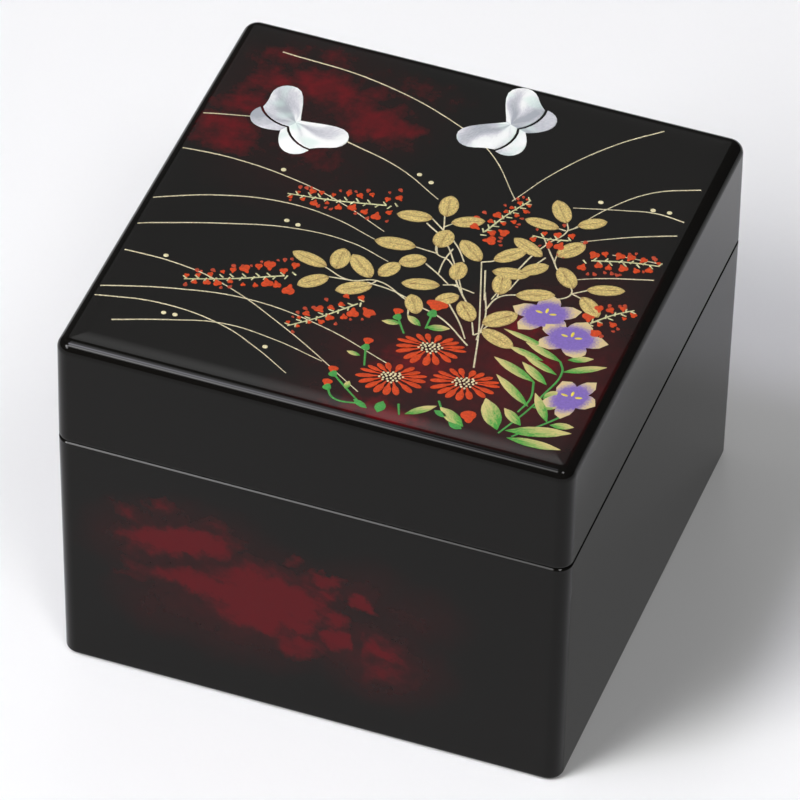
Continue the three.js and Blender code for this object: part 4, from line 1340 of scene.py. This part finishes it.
# %% Green leaves and stems
GREEN_LEAVES = [
    ((48.2, -26.9), (35.9, -24.1), 1.5), ((53.2, -30.7), (42.8, -26.9), 1.9),
    ((48.7, -31.9), (39.1, -29.9), 1.8), ((53.7, -35.7), (44.1, -31.9), 1.8),
    ((49.4, -40.3), (37.2, -35.1), 2.4), ((52.6, -40.1), (44.4, -34.4), 2.2),
    ((50.9, -49.4), (39.9, -41.2), 2.2), ((55.3, -34.1), (64.7, -28.7), 2.0),
    ((54.9, -29.4), (60.6, -26.9), 1.8), ((57.4, -53.2), (51.3, -44.4), 2.2),
    ((52.4, -49.4), (58.7, -46.6), 2.0), ((46.6, -60.3), (40.3, -50.7), 4.2),
    ((51.6, -56.8), (45.9, -52.4), 2.4), ((49.1, -59.9), (64.3, -55.3), 3.2),
    ((50.3, -62.4), (63.8, -61.9), 2.4), ((58.7, -54.1), (64.4, -52.8), 2.0),
    ((53.7, -45.3), (56.6, -41.6), 2.2), ((23.2, -63.2), (29.4, -57.8), 2.0),
    ((38.2, -62.4), (30.7, -57.8), 3.0), ((16.9, -30.6), (22.6, -29.1), 2.0),
    ((15.3, -30.6), (10.9, -28.1), 1.8), ((4.8, -46.7), (1.2, -46.3), 1.2),
    ((10.3, -31.6), (5.6, -32.3), 1.6), ((5.7, -59.8), (5.7, -56.8), 1.4),
]
YOUNG_LEAVES = [
    ((16.3, -65.0), (16.3, -60.9), 2.4), ((13.2, -64.6), (9.1, -62.8), 1.5),
    ((38.2, -63.4), (34.4, -62.2), 2.0), ((33.4, -60.6), (29.6, -59.4), 1.6),
]
STEMS = [
    [(53.2, -30.7), (54.9, -34.1), (53.2, -44.4), (51.6, -50.7), (47.4, -61.6)],
    [(49.4, -40.3), (50.7, -46.6), (49.4, -52.4)],
    [(8.7, -29.4), (12.4, -34.9)],
    [(5.1, -43.1), (7.2, -49.9)],
    [(0.7, -55.3), (5.7, -59.4), (10.7, -63.2)],
    [(1.2, -60.7), (4.1, -64.1), (11.6, -63.6)],
    [(16.6, -25.3), (16.9, -31.2)],
    [(20.3, -60.3), (21.8, -64.1)],
    [(29.4, -55.6), (31.6, -59.1)],
    [(61.8, -47.8), (57.8, -53.4), (50.9, -61.6)],
]
BLADE_FULLNESS = 1.15


def blade_shape(height):
    shape = disc(20)
    squeeze(shape, lambda v: abs(v.co.x) > 0.22, (1, 0.88, 1))
    squeeze(shape, lambda v: abs(v.co.x) > 0.38, (1, 0.72, 1))
    squeeze(shape, lambda v: abs(v.co.y) < 1e-4, (1.06, 1, 1))
    return raise_up(shape, height)


def from_root(leaves):
    """Each leaf's middle, heading, length and width, from its root, its tip and its width."""
    for (root_x, root_y), (tip_x, tip_y), width in leaves:
        heading = math.degrees(math.atan2(tip_y - root_y, tip_x - root_x))
        length = math.hypot(tip_x - root_x, tip_y - root_y)
        yield (root_x + tip_x) / 2, (root_y + tip_y) / 2, heading, length, width * BLADE_FULLNESS


stamp("green_leaves", blade_shape(0.08), list(from_root(GREEN_LEAVES)), leaf_paint)
stamp("young_leaves", blade_shape(0.08), list(from_root(YOUNG_LEAVES)), stem_paint)
draw_lines("green_stems", STEMS, 0.6, stem_paint, 0.8)
print(len(GREEN_LEAVES) + len(YOUNG_LEAVES), "green leaves")
